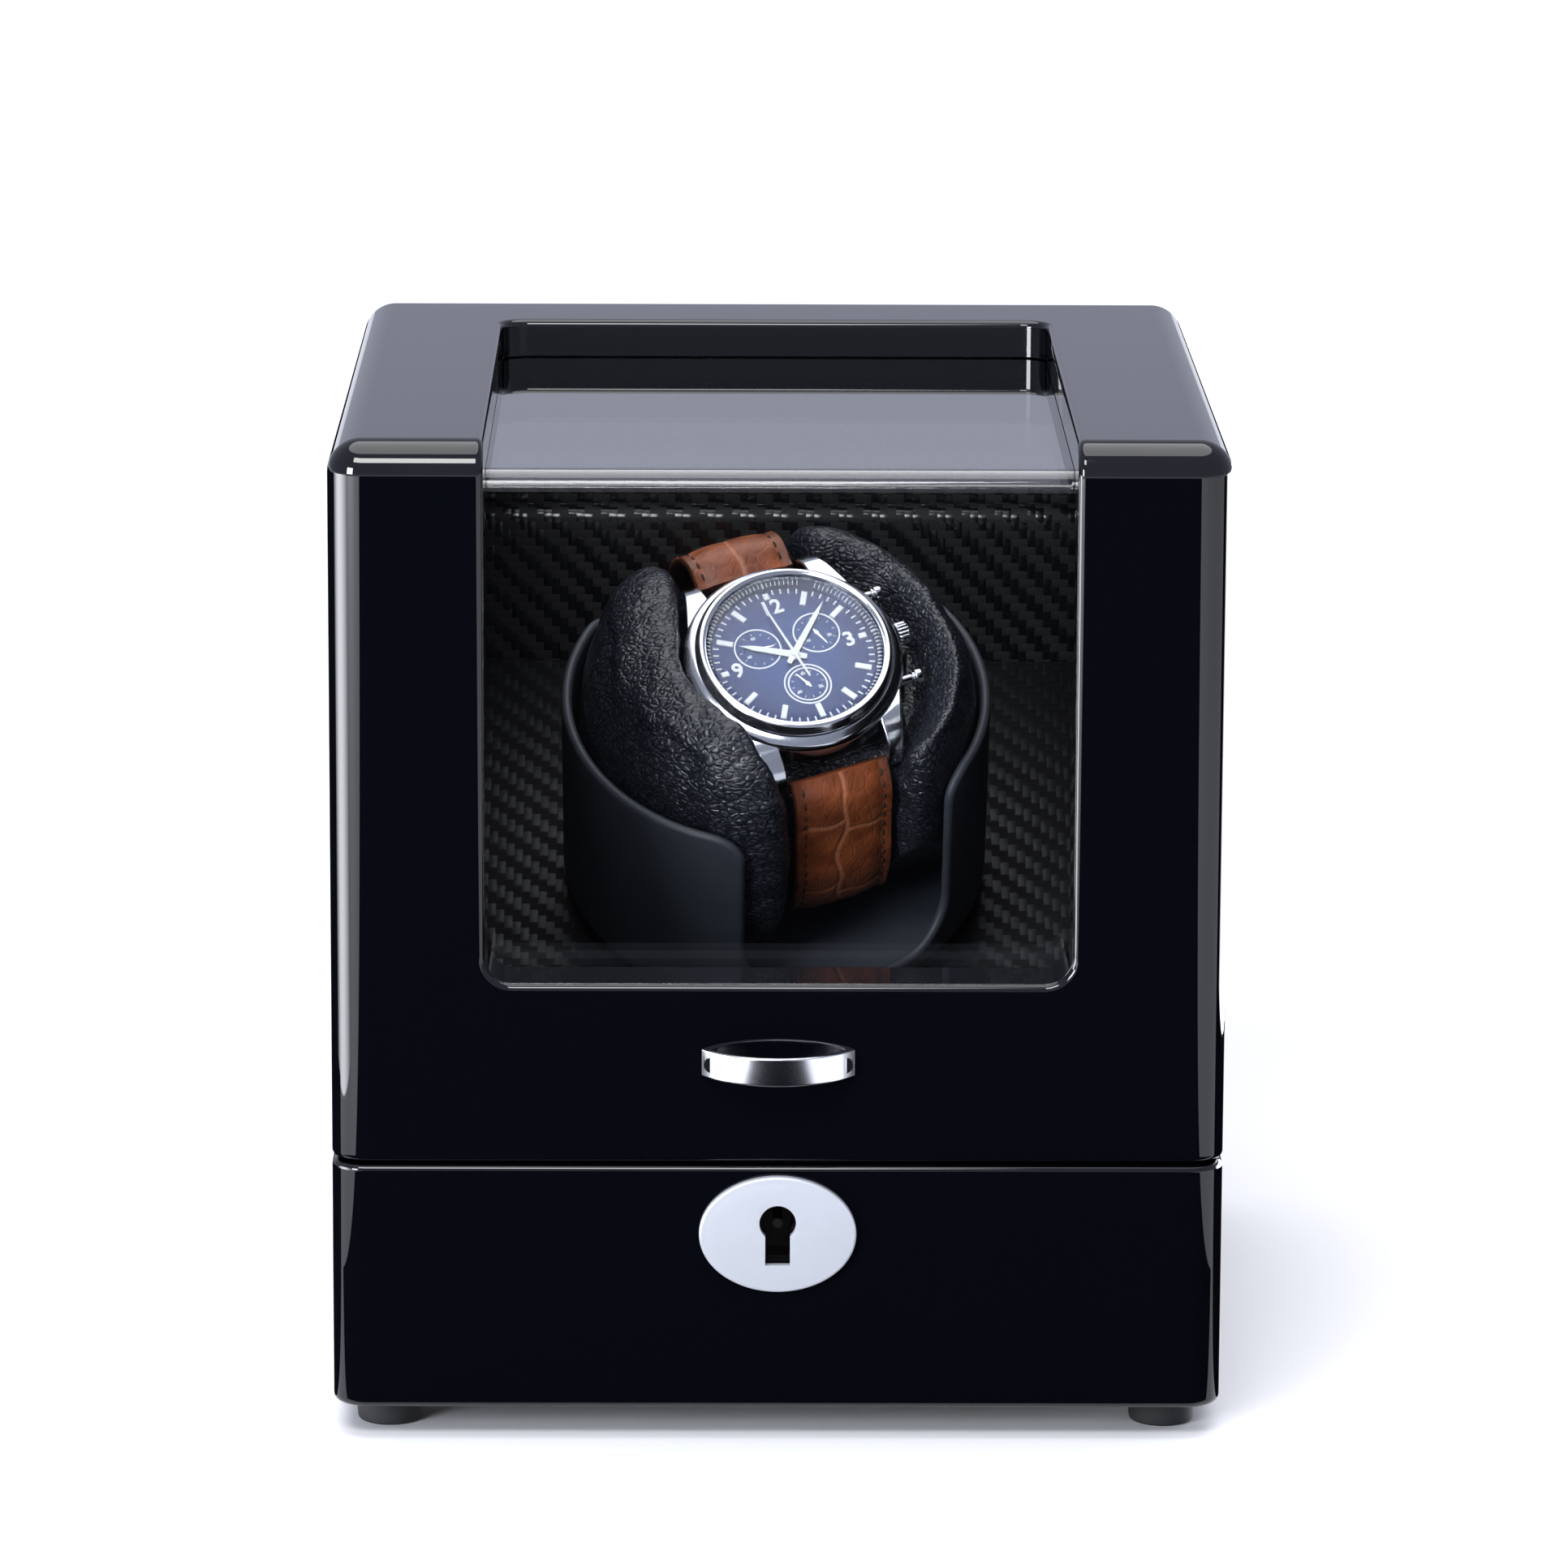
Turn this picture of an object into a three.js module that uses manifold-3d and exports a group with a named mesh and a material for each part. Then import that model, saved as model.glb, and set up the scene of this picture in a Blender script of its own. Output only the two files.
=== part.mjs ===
// Watch winder box: a lacquered box with a rear-hinged lid and an L-shaped window,
// a tilted motor-driven cup that holds a cushion, and a strapped watch on the cushion.
// Millimetres, +Z up, front towards -Y. The origin is on the floor, under the middle of the
// bounding box. Dimensions below are written about the middle of the box body, and the last
// lines shift the whole assembly to its origin.
import * as THREE from 'three';
import { RoundedBoxGeometry } from 'three/addons/geometries/RoundedBoxGeometry.js';
import { mergeVertices } from 'three/addons/utils/BufferGeometryUtils.js';
import Module from 'manifold-3d';

const wasm = await Module();
wasm.setup();

const { degToRad } = THREE.MathUtils;

// ---------- driving dimensions ----------
const GAP = 0.3; // clearance between pieces that touch

const BOX_W = 165;
const BOX_D = 175;
const FOOT_H = 6;
const BASE_TOP = 52.6;
const LID_BOTTOM = 53.2;
const LID_TOP = 187.6;
const CORNER_R = 6.3;
const SIDE_WALL = 12;
const REAR_WALL = 12;
const BASE_FRONT_WALL = 12;
const LID_FRONT_WALL = 14;
const LID_TOP_RAIL = 7.2;

const BOX_FRONT = -BOX_D / 2;
const BOX_BACK = BOX_D / 2;
const CAVITY_HALF_W = BOX_W / 2 - SIDE_WALL;
const CAVITY_BACK = BOX_BACK - REAR_WALL;
const BASE_CAVITY_FRONT = BOX_FRONT + BASE_FRONT_WALL;
const LID_CAVITY_FRONT = BOX_FRONT + LID_FRONT_WALL;
const LID_CAVITY_TOP = LID_TOP - LID_TOP_RAIL;

const WINDOW_HALF_W = 54;
const WINDOW_SILL = 87;
const WINDOW_BACK = 60;
const WINDOW_CORNER_R = 5;
const PANE_T = 3;
const PANE_LAP = 8; // how far the pane runs behind the frame
const PANE_BEND_R = 4;

const FLOOR_BOARD_T = 6;
const FLOOR_BOARD_BOTTOM = FOOT_H + 0.4;
const FLOOR_BOARD_TOP = FLOOR_BOARD_BOTTOM + FLOOR_BOARD_T;
const FOOT_R = 6.5;
const FOOT_X = 72.3;
const FOOT_Y = 73;
const BLOCK_SIDE = 14; // corner blocks that take the floor screws
const BLOCK_TOP = 20;

// The cup's axis passes through the middle of its rim and leans towards the front.
const CUP_LEAN = 33;
const RIM_Y = -10;
const RIM_Z = 126;
const CUP_R = 41.3;
const CUP_WALL = 2;
const CUP_DEPTH = 45.5;
const CUP_FLOOR_T = 2.5;
const CUP_TURN = 22.5; // rest angle of the rotor about its axis
const CUTOUT_HALF_W = 21.3;
const CUTOUT_DEPTH = 40.5;
const CUTOUT_LOWER_R = 10;
const CUTOUT_UPPER_R = 6;

const DECK_T = 6;
const DECK_CLEARANCE = 3; // under the cup
const DECK_TOP = -CUP_DEPTH - DECK_CLEARANCE; // along the cup's axis, from the rim
const DECK_BOTTOM = DECK_TOP - DECK_T;
const DECK_HALF_W = 69.5;
const DECK_FRONT_Y = -71;
const BACK_BOARD_FRONT_Y = 66;
const BACK_BOARD_BACK_Y = 73.2;
const BACK_BOARD_TOP = 149;
const CHEEK_T = 5;
const CHEEK_FRONT_Y = -60;
const CHEEK_BACK_Y = 61;

const SHAFT_R = 3;
const RUNNING_FIT = 0.1;
const PULLEY_MID = -61; // belt plane along the cup's axis
const ROTOR_PULLEY_R = 20;
const MOTOR_PULLEY_R = 6;
const PULLEY_HALF_T = 4;
const BELT_W = 2.4;
const BELT_T = 1.6;
const ROTOR_BELT_R = 18.7;
const MOTOR_BELT_R = 5.1;
const GROOVE_HALF_W = 1.8;
const MOTOR_X = 36;
const MOTOR_UP = 8; // motor axis, up the slope from the cup's axis
const BRACKET_TOP = -65.5;
const BRACKET_T = 2;

const HINGE_Y = 88.2;
const HINGE_Z = (BASE_TOP + LID_BOTTOM) / 2;
const HINGE_X = 45;
const HINGE_L = 36;
const KNUCKLE_R = 2.2;
const HINGE_PIN_R = 0.95;
const LEAF_T = 1.2;
const LEAF_FRONT_Y = 76.5;
const KNUCKLE_END_L = 9;

const HANDLE_Z = 72.25;
const HANDLE_HALF_W = 14.15;
const HANDLE_BOW = 8;
const HANDLE_H = 5.3;
const HANDLE_T = 1.4;
const STUD_X = 12.2;
const STUD_R = 1.5;

const KEYHOLE_Z = 42;
const KEYHOLE_R = 3.4;
const KEYHOLE_SLOT_W = 4.6;
const KEYHOLE_BOTTOM = 34;
const ESCUTCHEON_Z = 39.8;
const ESCUTCHEON_HALF_W = 14.55;
const ESCUTCHEON_HALF_H = 11;
const ESCUTCHEON_T = 1.8;
const LOCK_HALF_W = 16.7;
const LOCK_FRONT_Y = -82;
const LOCK_BACK_Y = -72.5;
const LOCK_BOTTOM = 28.3;
const BOLT_HALF_W = 7;
const BOLT_T = 2.4;
const BOLT_Y = -79;
const BOLT_BOTTOM = 46;
const BOLT_REACH = 6; // room above the seam for the thrown bolt

const BAY_HALF_W = 40; // opening in the rear wall for the controls
const BAY_BOTTOM = 15;
const BAY_TOP = 47;
const PANEL_FRONT_Y = 73.3;
const PANEL_BACK_Y = 75.2;
const PANEL_HALF_W = 46;
const JACK_X = -24;
const KNOB_X = 22;
const CONTROL_Z = 31;
const BOARD_Y = 58;

// Watch, measured from the middle of its dial: +X towards 3 o'clock, +Z out of the dial.
const WATCH_TILT = 12;
const WATCH_ACROSS = 1.7;
const WATCH_TOWARDS_SIX = 4.5;
const WATCH_UP = 13.5;
const CASE_R = 21.2;
const CASE_BOTTOM = -8.5;
const BEZEL_R = 19.1;
const GLASS_R = 17;
const LUG_REACH = 24.6;
const LUG_INNER = 10.4;
const LUG_T = 2.8;
const PUSHER_OFFSET = 10.2;
const STRAP_W = 20;
const STRAP_T = 2.6;
const BUCKLE_V = 13; // towards 12 o'clock from the cup's axis
const BUCKLE_TOP = -39.4;

const CUSHION_R = CUP_R - CUP_WALL - 0.7;
const CUSHION_TOP = 20;
const CUSHION_BOTTOM = -42.4;

const ROUND_SIDES = 24;
const SMALL_SIDES = 12;
const CUP_SIDES = 40;
const WATCH_SIDES = 36;

// ---------- colours ----------
const finish = (color, roughness, metalness = 0) =>
  new THREE.MeshStandardMaterial({ color, roughness, metalness });
const LACQUER = finish('#08090b', 0.06);
const BOARD = finish('#3a322b', 0.8);
const RUBBER = finish('#111112', 0.85);
const CARBON_LEATHER = finish('#16181b', 0.5);
const SOFT_PLASTIC = finish('#17181b', 0.6);
const BLACK_PLASTIC = finish('#0f1012', 0.4);
const WHITE_PLASTIC = finish('#d8d8d2', 0.5);
const CHROME = finish('#d9dce0', 0.08, 1);
const SATIN_CHROME = finish('#b9bcc0', 0.3, 1);
const STEEL = finish('#9a9da1', 0.35, 1);
const BRASS = finish('#b08d4c', 0.35, 1);
const BRONZE = finish('#8a6a3f', 0.5, 1);
const CIRCUIT_GREEN = finish('#1d4a2c', 0.5);
const CABLE_BLACK = finish('#18181a', 0.6);
const GRAIN_LEATHER = finish('#15161a', 0.55);
const BROWN_LEATHER = finish('#8a4526', 0.5);
const ACRYLIC = finish('#cfd6dc', 0.03);
const DIAL_BLUE = finish('#24408f', 0.3, 0.4);

// ---------- building helpers ----------
function toSolid(geometry) {
  const plain = geometry.clone();
  plain.deleteAttribute('normal');
  plain.deleteAttribute('uv');
  const merged = mergeVertices(plain, 1e-4);
  const vertProperties = new Float32Array(merged.attributes.position.array);
  const triVerts = new Uint32Array(merged.index.array);
  return new wasm.Manifold(new wasm.Mesh({ numProp: 3, vertProperties, triVerts }));
}

function toGeometry(solid) {
  const mesh = solid.getMesh();
  const geometry = new THREE.BufferGeometry();
  geometry.setAttribute('position', new THREE.BufferAttribute(mesh.vertProperties, 3));
  geometry.setIndex(new THREE.BufferAttribute(mesh.triVerts, 1));
  geometry.computeVertexNormals();
  return geometry;
}

function cut(body, ...tools) {
  let solid = toSolid(body);
  for (const tool of tools) solid = solid.subtract(toSolid(tool));
  return toGeometry(solid);
}

function join(body, ...others) {
  let solid = toSolid(body);
  for (const other of others) solid = solid.add(toSolid(other));
  return toGeometry(solid);
}

// A box given by its lowest and highest corners.
function block(low, high) {
  const size = high.map((value, i) => value - low[i]);
  const middle = high.map((value, i) => (value + low[i]) / 2);
  return new THREE.BoxGeometry(...size).translate(...middle);
}

// A round bar along Z from z0 to z1.
function bar(radius, z0, z1, x = 0, y = 0, sides = ROUND_SIDES) {
  const cylinder = new THREE.CylinderGeometry(radius, radius, z1 - z0, sides);
  return cylinder.rotateX(Math.PI / 2).translate(x, y, (z0 + z1) / 2);
}

// A round bar along X from x0 to x1.
function barX(radius, x0, x1, y, z, sides = ROUND_SIDES) {
  const cylinder = new THREE.CylinderGeometry(radius, radius, x1 - x0, sides);
  return cylinder.rotateZ(Math.PI / 2).translate((x0 + x1) / 2, y, z);
}

// A round bar along Y from y0 to y1.
function barY(radius, y0, y1, x, z, sides = ROUND_SIDES) {
  const cylinder = new THREE.CylinderGeometry(radius, radius, y1 - y0, sides);
  return cylinder.translate(x, (y0 + y1) / 2, z);
}

// A solid of revolution about Z from a closed or axis-to-axis list of [radius, z].
function turned(profile, sides = ROUND_SIDES) {
  const points = profile.map(([radius, z]) => new THREE.Vector2(radius, z));
  return new THREE.LatheGeometry(points, sides).rotateX(Math.PI / 2);
}

// Extrudes an XY shape along Z from z0 to z1.
function slab(shape, z0, z1, curveSegments = 6) {
  const options = { depth: z1 - z0, bevelEnabled: false, curveSegments };
  return new THREE.ExtrudeGeometry(shape, options).translate(0, 0, z0);
}

// Turns an extrusion so that its XY outline lies in XZ and its depth runs along Y.
function uprightXZ(geometry) {
  const toXZ = new THREE.Matrix4().makeBasis(
    new THREE.Vector3(-1, 0, 0),
    new THREE.Vector3(0, 0, 1),
    new THREE.Vector3(0, 1, 0),
  );
  return geometry.applyMatrix4(toXZ);
}

// Turns an extrusion so that its XY outline lies in YZ and its depth runs along X.
function uprightYZ(geometry) {
  const toYZ = new THREE.Matrix4().makeBasis(
    new THREE.Vector3(0, 1, 0),
    new THREE.Vector3(0, 0, 1),
    new THREE.Vector3(1, 0, 0),
  );
  return geometry.applyMatrix4(toYZ);
}

function polygon(points) {
  return new THREE.Shape(points.map(([x, y]) => new THREE.Vector2(x, y)));
}

function roundedRectangle(halfW, halfH, radius) {
  const shape = new THREE.Shape();
  shape.absarc(halfW - radius, halfH - radius, radius, 0, Math.PI / 2);
  shape.absarc(radius - halfW, halfH - radius, radius, Math.PI / 2, Math.PI);
  shape.absarc(radius - halfW, radius - halfH, radius, Math.PI, Math.PI * 1.5);
  shape.absarc(halfW - radius, radius - halfH, radius, Math.PI * 1.5, Math.PI * 2);
  shape.closePath();
  return shape;
}

// The outline of a strip of even thickness that follows a 2-D curve.
function strip(curve, thickness, steps) {
  const left = [];
  const right = [];
  for (let i = 0; i <= steps; i += 1) {
    const point = curve.getPoint(i / steps);
    const along = curve.getTangent(i / steps);
    const side = new THREE.Vector2(-along.y, along.x).multiplyScalar(thickness / 2);
    left.push(point.clone().add(side));
    right.unshift(point.clone().sub(side));
  }
  return new THREE.Shape([...left, ...right]);
}

// A keyhole: a round hole with a slot below it, in the XY plane.
function keyholeShape(radius, slotW, bottom) {
  const halfAngle = Math.asin(slotW / 2 / radius);
  const shape = new THREE.Shape();
  shape.absarc(0, 0, radius, halfAngle - Math.PI / 2, Math.PI * 1.5 - halfAngle);
  shape.lineTo(-slotW / 2, bottom);
  shape.lineTo(slotW / 2, bottom);
  shape.closePath();
  return shape;
}

// Closed skin over a row of rings, each with the same number of points, with a point at each end.
function skinned(firstPoint, rings, lastPoint) {
  const count = rings[0].length;
  const vertices = [firstPoint, ...rings.flat(), lastPoint];
  const last = vertices.length - 1;
  const faces = [];
  for (let j = 0; j < count; j += 1) {
    const next = (j + 1) % count;
    faces.push(0, 1 + next, 1 + j);
    for (let i = 0; i + 1 < rings.length; i += 1) {
      const near = 1 + i * count;
      const far = near + count;
      faces.push(near + j, near + next, far + j);
      faces.push(near + next, far + next, far + j);
    }
    faces.push(last, last - count + j, last - count + next);
  }
  const geometry = new THREE.BufferGeometry();
  geometry.setAttribute('position', new THREE.Float32BufferAttribute(vertices.flat(), 3));
  geometry.setIndex(faces);
  geometry.computeVertexNormals();
  return geometry;
}

function addPiece(parent, name, geometry, material) {
  const mesh = new THREE.Mesh(geometry, material);
  mesh.name = name;
  parent.add(mesh);
  return mesh;
}

// ---------- box body ----------
const wholeObject = new THREE.Group();

const blockCentre = (sx, sy) => [
  sx * (CAVITY_HALF_W - BLOCK_SIDE / 2),
  sy * (CAVITY_BACK - BLOCK_SIDE / 2),
];
const CORNERS = { front_left: [-1, -1], front_right: [1, -1], rear_left: [-1, 1], rear_right: [1, 1] };
const SIDES = { left: -1, right: 1 };
const FLOOR_SCREW_R = 1.4;
const FLOOR_SCREW_TOP = 19;

// Room for the hinge leaf and knuckle in the rear edges of base and lid.
function hingePockets(z0, z1, knuckleZ0, knuckleZ1) {
  const pockets = [];
  for (const side of Object.values(SIDES)) {
    const x0 = side * HINGE_X - HINGE_L / 2;
    const x1 = x0 + HINGE_L;
    const knuckleFront = HINGE_Y - KNUCKLE_R - 2 * GAP;
    pockets.push(block([x0 - GAP, LEAF_FRONT_Y - GAP, z0], [x1 + GAP, BOX_BACK + 1, z1]));
    pockets.push(block([x0 - 1.3, knuckleFront, knuckleZ0], [x1 + 1.3, BOX_BACK + 1, knuckleZ1]));
  }
  return pockets;
}

function baseShell() {
  const outline = roundedRectangle(BOX_W / 2, BOX_D / 2, CORNER_R);
  const walls = cut(
    slab(outline, FOOT_H, BASE_TOP),
    block([-CAVITY_HALF_W, BASE_CAVITY_FRONT, 0], [CAVITY_HALF_W, CAVITY_BACK, LID_TOP]),
  );
  const blocks = [];
  const holes = [];
  for (const [sx, sy] of Object.values(CORNERS)) {
    const [x, y] = blockCentre(sx, sy);
    const reach = BLOCK_SIDE / 2;
    const outer = reach + 1;
    const low = [x - (sx < 0 ? outer : reach), y - (sy < 0 ? outer : reach), FLOOR_BOARD_TOP + GAP];
    const high = [x + (sx > 0 ? outer : reach), y + (sy > 0 ? outer : reach), BLOCK_TOP];
    blocks.push(block(low, high));
    holes.push(bar(FLOOR_SCREW_R + GAP, 0, FLOOR_SCREW_TOP + GAP, x, y, SMALL_SIDES));
  }
  const keyhole = keyholeShape(KEYHOLE_R + 0.6, KEYHOLE_SLOT_W + 1, KEYHOLE_BOTTOM - KEYHOLE_Z - 0.5);
  return cut(
    join(walls, ...blocks),
    ...holes,
    block(
      [-LOCK_HALF_W - GAP, LOCK_FRONT_Y - GAP, LOCK_BOTTOM - GAP],
      [LOCK_HALF_W + GAP, BASE_CAVITY_FRONT + 1, BASE_TOP + 1],
    ),
    uprightXZ(slab(keyhole, BOX_FRONT - 1, LOCK_FRONT_Y + 1)).translate(0, 0, KEYHOLE_Z),
    block([-BAY_HALF_W, CAVITY_BACK - 1, BAY_BOTTOM], [BAY_HALF_W, BOX_BACK + 1, BAY_TOP]),
    ...hingePockets(BASE_TOP - LEAF_T - GAP, BASE_TOP + 1, HINGE_Z - KNUCKLE_R - GAP, BASE_TOP + 1),
  );
}

function floorBoard() {
  const margin = GAP;
  const board = block(
    [-CAVITY_HALF_W + margin, BASE_CAVITY_FRONT + margin, FLOOR_BOARD_BOTTOM],
    [CAVITY_HALF_W - margin, CAVITY_BACK - margin, FLOOR_BOARD_TOP],
  );
  const holes = [];
  for (const [sx, sy] of Object.values(CORNERS)) {
    const [x, y] = blockCentre(sx, sy);
    holes.push(bar(FLOOR_SCREW_R + GAP, 0, FLOOR_BOARD_TOP + 1, x, y, SMALL_SIDES));
    holes.push(bar(FLOOR_SCREW_R + 2.1, 0, FLOOR_BOARD_BOTTOM + 2.3, x, y, SMALL_SIDES));
  }
  return cut(board, ...holes);
}

function floorScrew() {
  const head = 1.7;
  const z0 = FLOOR_BOARD_BOTTOM + 0.2;
  const tip = 1.5;
  return turned([
    [0, z0 + 0.9],
    [1, z0 + 0.9],
    [1, z0],
    [FLOOR_SCREW_R + 1.3, z0],
    [FLOOR_SCREW_R + 1.6, z0 + 0.5],
    [FLOOR_SCREW_R + 1.6, z0 + head],
    [FLOOR_SCREW_R, z0 + head],
    [FLOOR_SCREW_R, FLOOR_SCREW_TOP - tip],
    [0, FLOOR_SCREW_TOP],
  ], SMALL_SIDES);
}

function foot() {
  const recess = 2.6;
  return turned([
    [0, recess],
    [2.4, recess],
    [2.4, 0.6],
    [3, 0],
    [FOOT_R - 1.4, 0],
    [FOOT_R - 0.4, 0.6],
    [FOOT_R, FOOT_H - 0.4],
    [FOOT_R - 0.4, FOOT_H - 0.05],
    [0, FOOT_H - 0.05],
  ], 20);
}

function lidShell() {
  const lost = 10; // rounded box that runs on below the lid and is cut off there
  const height = LID_TOP - LID_BOTTOM + lost;
  const outer = new RoundedBoxGeometry(BOX_W, BOX_D, height, 4, CORNER_R);
  const frontOpening = roundedRectangle(WINDOW_HALF_W, LID_TOP - WINDOW_SILL, WINDOW_CORNER_R);
  const topOpening = roundedRectangle(WINDOW_HALF_W, WINDOW_BACK - BOX_FRONT, WINDOW_CORNER_R);
  const strikeTop = LID_BOTTOM + LEAF_T + GAP;
  const studs = Object.values(SIDES).map((side) =>
    barY(STUD_R + GAP, BOX_FRONT - 1, LID_CAVITY_FRONT + 1, side * STUD_X, HANDLE_Z, SMALL_SIDES));
  return cut(
    outer.translate(0, 0, LID_TOP - height / 2),
    block([-BOX_W, -BOX_D, 0], [BOX_W, BOX_D, LID_BOTTOM]),
    block([-CAVITY_HALF_W, LID_CAVITY_FRONT, 0], [CAVITY_HALF_W, CAVITY_BACK, LID_CAVITY_TOP]),
    uprightXZ(slab(frontOpening, BOX_FRONT - 1, LID_CAVITY_FRONT + 1)).translate(0, 0, LID_TOP),
    slab(topOpening, LID_CAVITY_TOP - 1, LID_TOP + 1).translate(0, BOX_FRONT, 0),
    block([-BOLT_HALF_W - 6.3, BOLT_Y - 3.8, 0], [BOLT_HALF_W + 6.3, BOLT_Y + 2.8, strikeTop]),
    block(
      [-BOLT_HALF_W - 1.5, BOLT_Y - 2.8, 0],
      [BOLT_HALF_W + 1.5, BOLT_Y + 2, LID_BOTTOM + BOLT_REACH + 2],
    ),
    ...studs,
    ...hingePockets(LID_BOTTOM - 1, LID_BOTTOM + LEAF_T + GAP, LID_BOTTOM - 1, HINGE_Z + KNUCKLE_R + GAP),
  );
}

// One bent sheet: up behind the front frame, round a small bend and back under the top frame.
function lidWindow() {
  const front = LID_CAVITY_FRONT + GAP;
  const top = LID_CAVITY_TOP - GAP;
  const shape = new THREE.Shape();
  shape.moveTo(front, WINDOW_SILL - PANE_LAP);
  shape.lineTo(front + PANE_T, WINDOW_SILL - PANE_LAP);
  shape.lineTo(front + PANE_T, top - PANE_T);
  shape.lineTo(WINDOW_BACK + PANE_LAP, top - PANE_T);
  shape.lineTo(WINDOW_BACK + PANE_LAP, top);
  shape.absarc(front + PANE_BEND_R, top - PANE_BEND_R, PANE_BEND_R, Math.PI / 2, Math.PI, false);
  shape.closePath();
  const halfW = WINDOW_HALF_W + PANE_LAP;
  return uprightYZ(slab(shape, -halfW, halfW, 6));
}

function lidBackLiner() {
  return block([-62, 73.8, 56], [62, CAVITY_BACK - GAP, 173]);
}

function strikePlate() {
  const y0 = BOLT_Y - 3.5;
  const y1 = BOLT_Y + 2.5;
  const plate = block([-BOLT_HALF_W - 6, y0, LID_BOTTOM + 0.1], [BOLT_HALF_W + 6, y1, LID_BOTTOM + LEAF_T]);
  return cut(plate, block([-BOLT_HALF_W - 1, BOLT_Y - 2, 0], [BOLT_HALF_W + 1, BOLT_Y + 1.6, LID_TOP]));
}

// A chrome strip bowed out from the lid on two threaded studs.
function handle() {
  const radius = (HANDLE_HALF_W ** 2 + HANDLE_BOW ** 2) / (2 * HANDLE_BOW);
  const centreY = HANDLE_BOW - radius;
  const sweep = Math.asin(HANDLE_HALF_W / radius);
  const mid = radius - HANDLE_T / 2;
  const arc = new THREE.ArcCurve(0, centreY, mid, Math.PI / 2 - sweep, Math.PI / 2 + sweep, false);
  const bow = slab(strip(arc, HANDLE_T, 16), -HANDLE_H / 2, HANDLE_H / 2);
  bow.rotateX(Math.PI).translate(0, BOX_FRONT, HANDLE_Z);
  const wall = block([-30, BOX_FRONT - 0.05, 0], [30, 0, LID_TOP]);
  const studs = Object.values(SIDES).map((side) =>
    barY(STUD_R, BOX_FRONT - 2.2, LID_CAVITY_FRONT + 2.6, side * STUD_X, HANDLE_Z, SMALL_SIDES));
  return join(cut(bow, wall), ...studs);
}

function handleNut(side) {
  const y0 = LID_CAVITY_FRONT + 0.1;
  const nut = new THREE.CylinderGeometry(3.1, 3.1, 2.2, 6).translate(0, y0 + 1.1, 0);
  const bore = barY(STUD_R + 0.2, y0 - 1, y0 + 4, 0, 0, SMALL_SIDES);
  return cut(nut, bore).translate(side * STUD_X, 0, HANDLE_Z);
}

// ---------- lock ----------
function escutcheon() {
  const oval = new THREE.Shape();
  oval.absellipse(0, 0, ESCUTCHEON_HALF_W - 0.8, ESCUTCHEON_HALF_H - 0.8, 0, Math.PI * 2, false, 0);
  const bevel = { bevelEnabled: true, bevelSize: 0.8, bevelThickness: 0.8, bevelSegments: 2 };
  const plate = new THREE.ExtrudeGeometry(oval, { depth: ESCUTCHEON_T, curveSegments: 14, ...bevel });
  const keyhole = keyholeShape(KEYHOLE_R, KEYHOLE_SLOT_W, KEYHOLE_BOTTOM - KEYHOLE_Z);
  const front = BOX_FRONT - ESCUTCHEON_T - 0.1;
  return cut(
    uprightXZ(plate).translate(0, front + 0.8, ESCUTCHEON_Z),
    block([-30, BOX_FRONT - 0.1, 0], [30, BOX_FRONT + 10, LID_TOP]),
    uprightXZ(slab(keyhole, front - 1, BOX_FRONT + 1)).translate(0, 0, KEYHOLE_Z),
  );
}

function lockCase() {
  const body = block([-LOCK_HALF_W, LOCK_FRONT_Y, LOCK_BOTTOM], [LOCK_HALF_W, LOCK_BACK_Y, BASE_TOP - 0.2]);
  const keyhole = keyholeShape(KEYHOLE_R + 0.2, KEYHOLE_SLOT_W + 0.4, KEYHOLE_BOTTOM - KEYHOLE_Z);
  const channel = block(
    [-BOLT_HALF_W - GAP, BOLT_Y - BOLT_T / 2 - GAP, BOLT_BOTTOM - 0.4],
    [BOLT_HALF_W + GAP, BOLT_Y + BOLT_T / 2 + GAP, BASE_TOP + 1],
  );
  return cut(body, channel, uprightXZ(slab(keyhole, LOCK_FRONT_Y - 1, -75)).translate(0, 0, KEYHOLE_Z));
}

function lockBolt() {
  return block(
    [-BOLT_HALF_W, BOLT_Y - BOLT_T / 2, BOLT_BOTTOM],
    [BOLT_HALF_W, BOLT_Y + BOLT_T / 2, BASE_TOP - 0.3],
  );
}

// ---------- hinges ----------
function knuckle(x0, x1) {
  const barrel = barX(KNUCKLE_R, x0, x1, HINGE_Y, HINGE_Z, SMALL_SIDES);
  return cut(barrel, barX(HINGE_PIN_R + 0.15, x0 - 1, x1 + 1, HINGE_Y, HINGE_Z, SMALL_SIDES));
}

function hingeLeaf(side, z0, z1, knuckles) {
  const x0 = side * HINGE_X - HINGE_L / 2;
  const plates = [block([x0, LEAF_FRONT_Y, z0], [x0 + HINGE_L, HINGE_Y - KNUCKLE_R - 0.6, z1])];
  const barrels = [];
  for (const [from, to] of knuckles) {
    plates.push(block([x0 + from, LEAF_FRONT_Y + 2, z0], [x0 + to, HINGE_Y - 1.4, z1]));
    barrels.push(knuckle(x0 + from, x0 + to));
  }
  return join(...plates, ...barrels);
}

const KNUCKLE_GAP = 0.3;
const LID_KNUCKLE = [[KNUCKLE_END_L + KNUCKLE_GAP, HINGE_L - KNUCKLE_END_L - KNUCKLE_GAP]];
const BASE_KNUCKLES = [[0, KNUCKLE_END_L], [HINGE_L - KNUCKLE_END_L, HINGE_L]];

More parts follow.
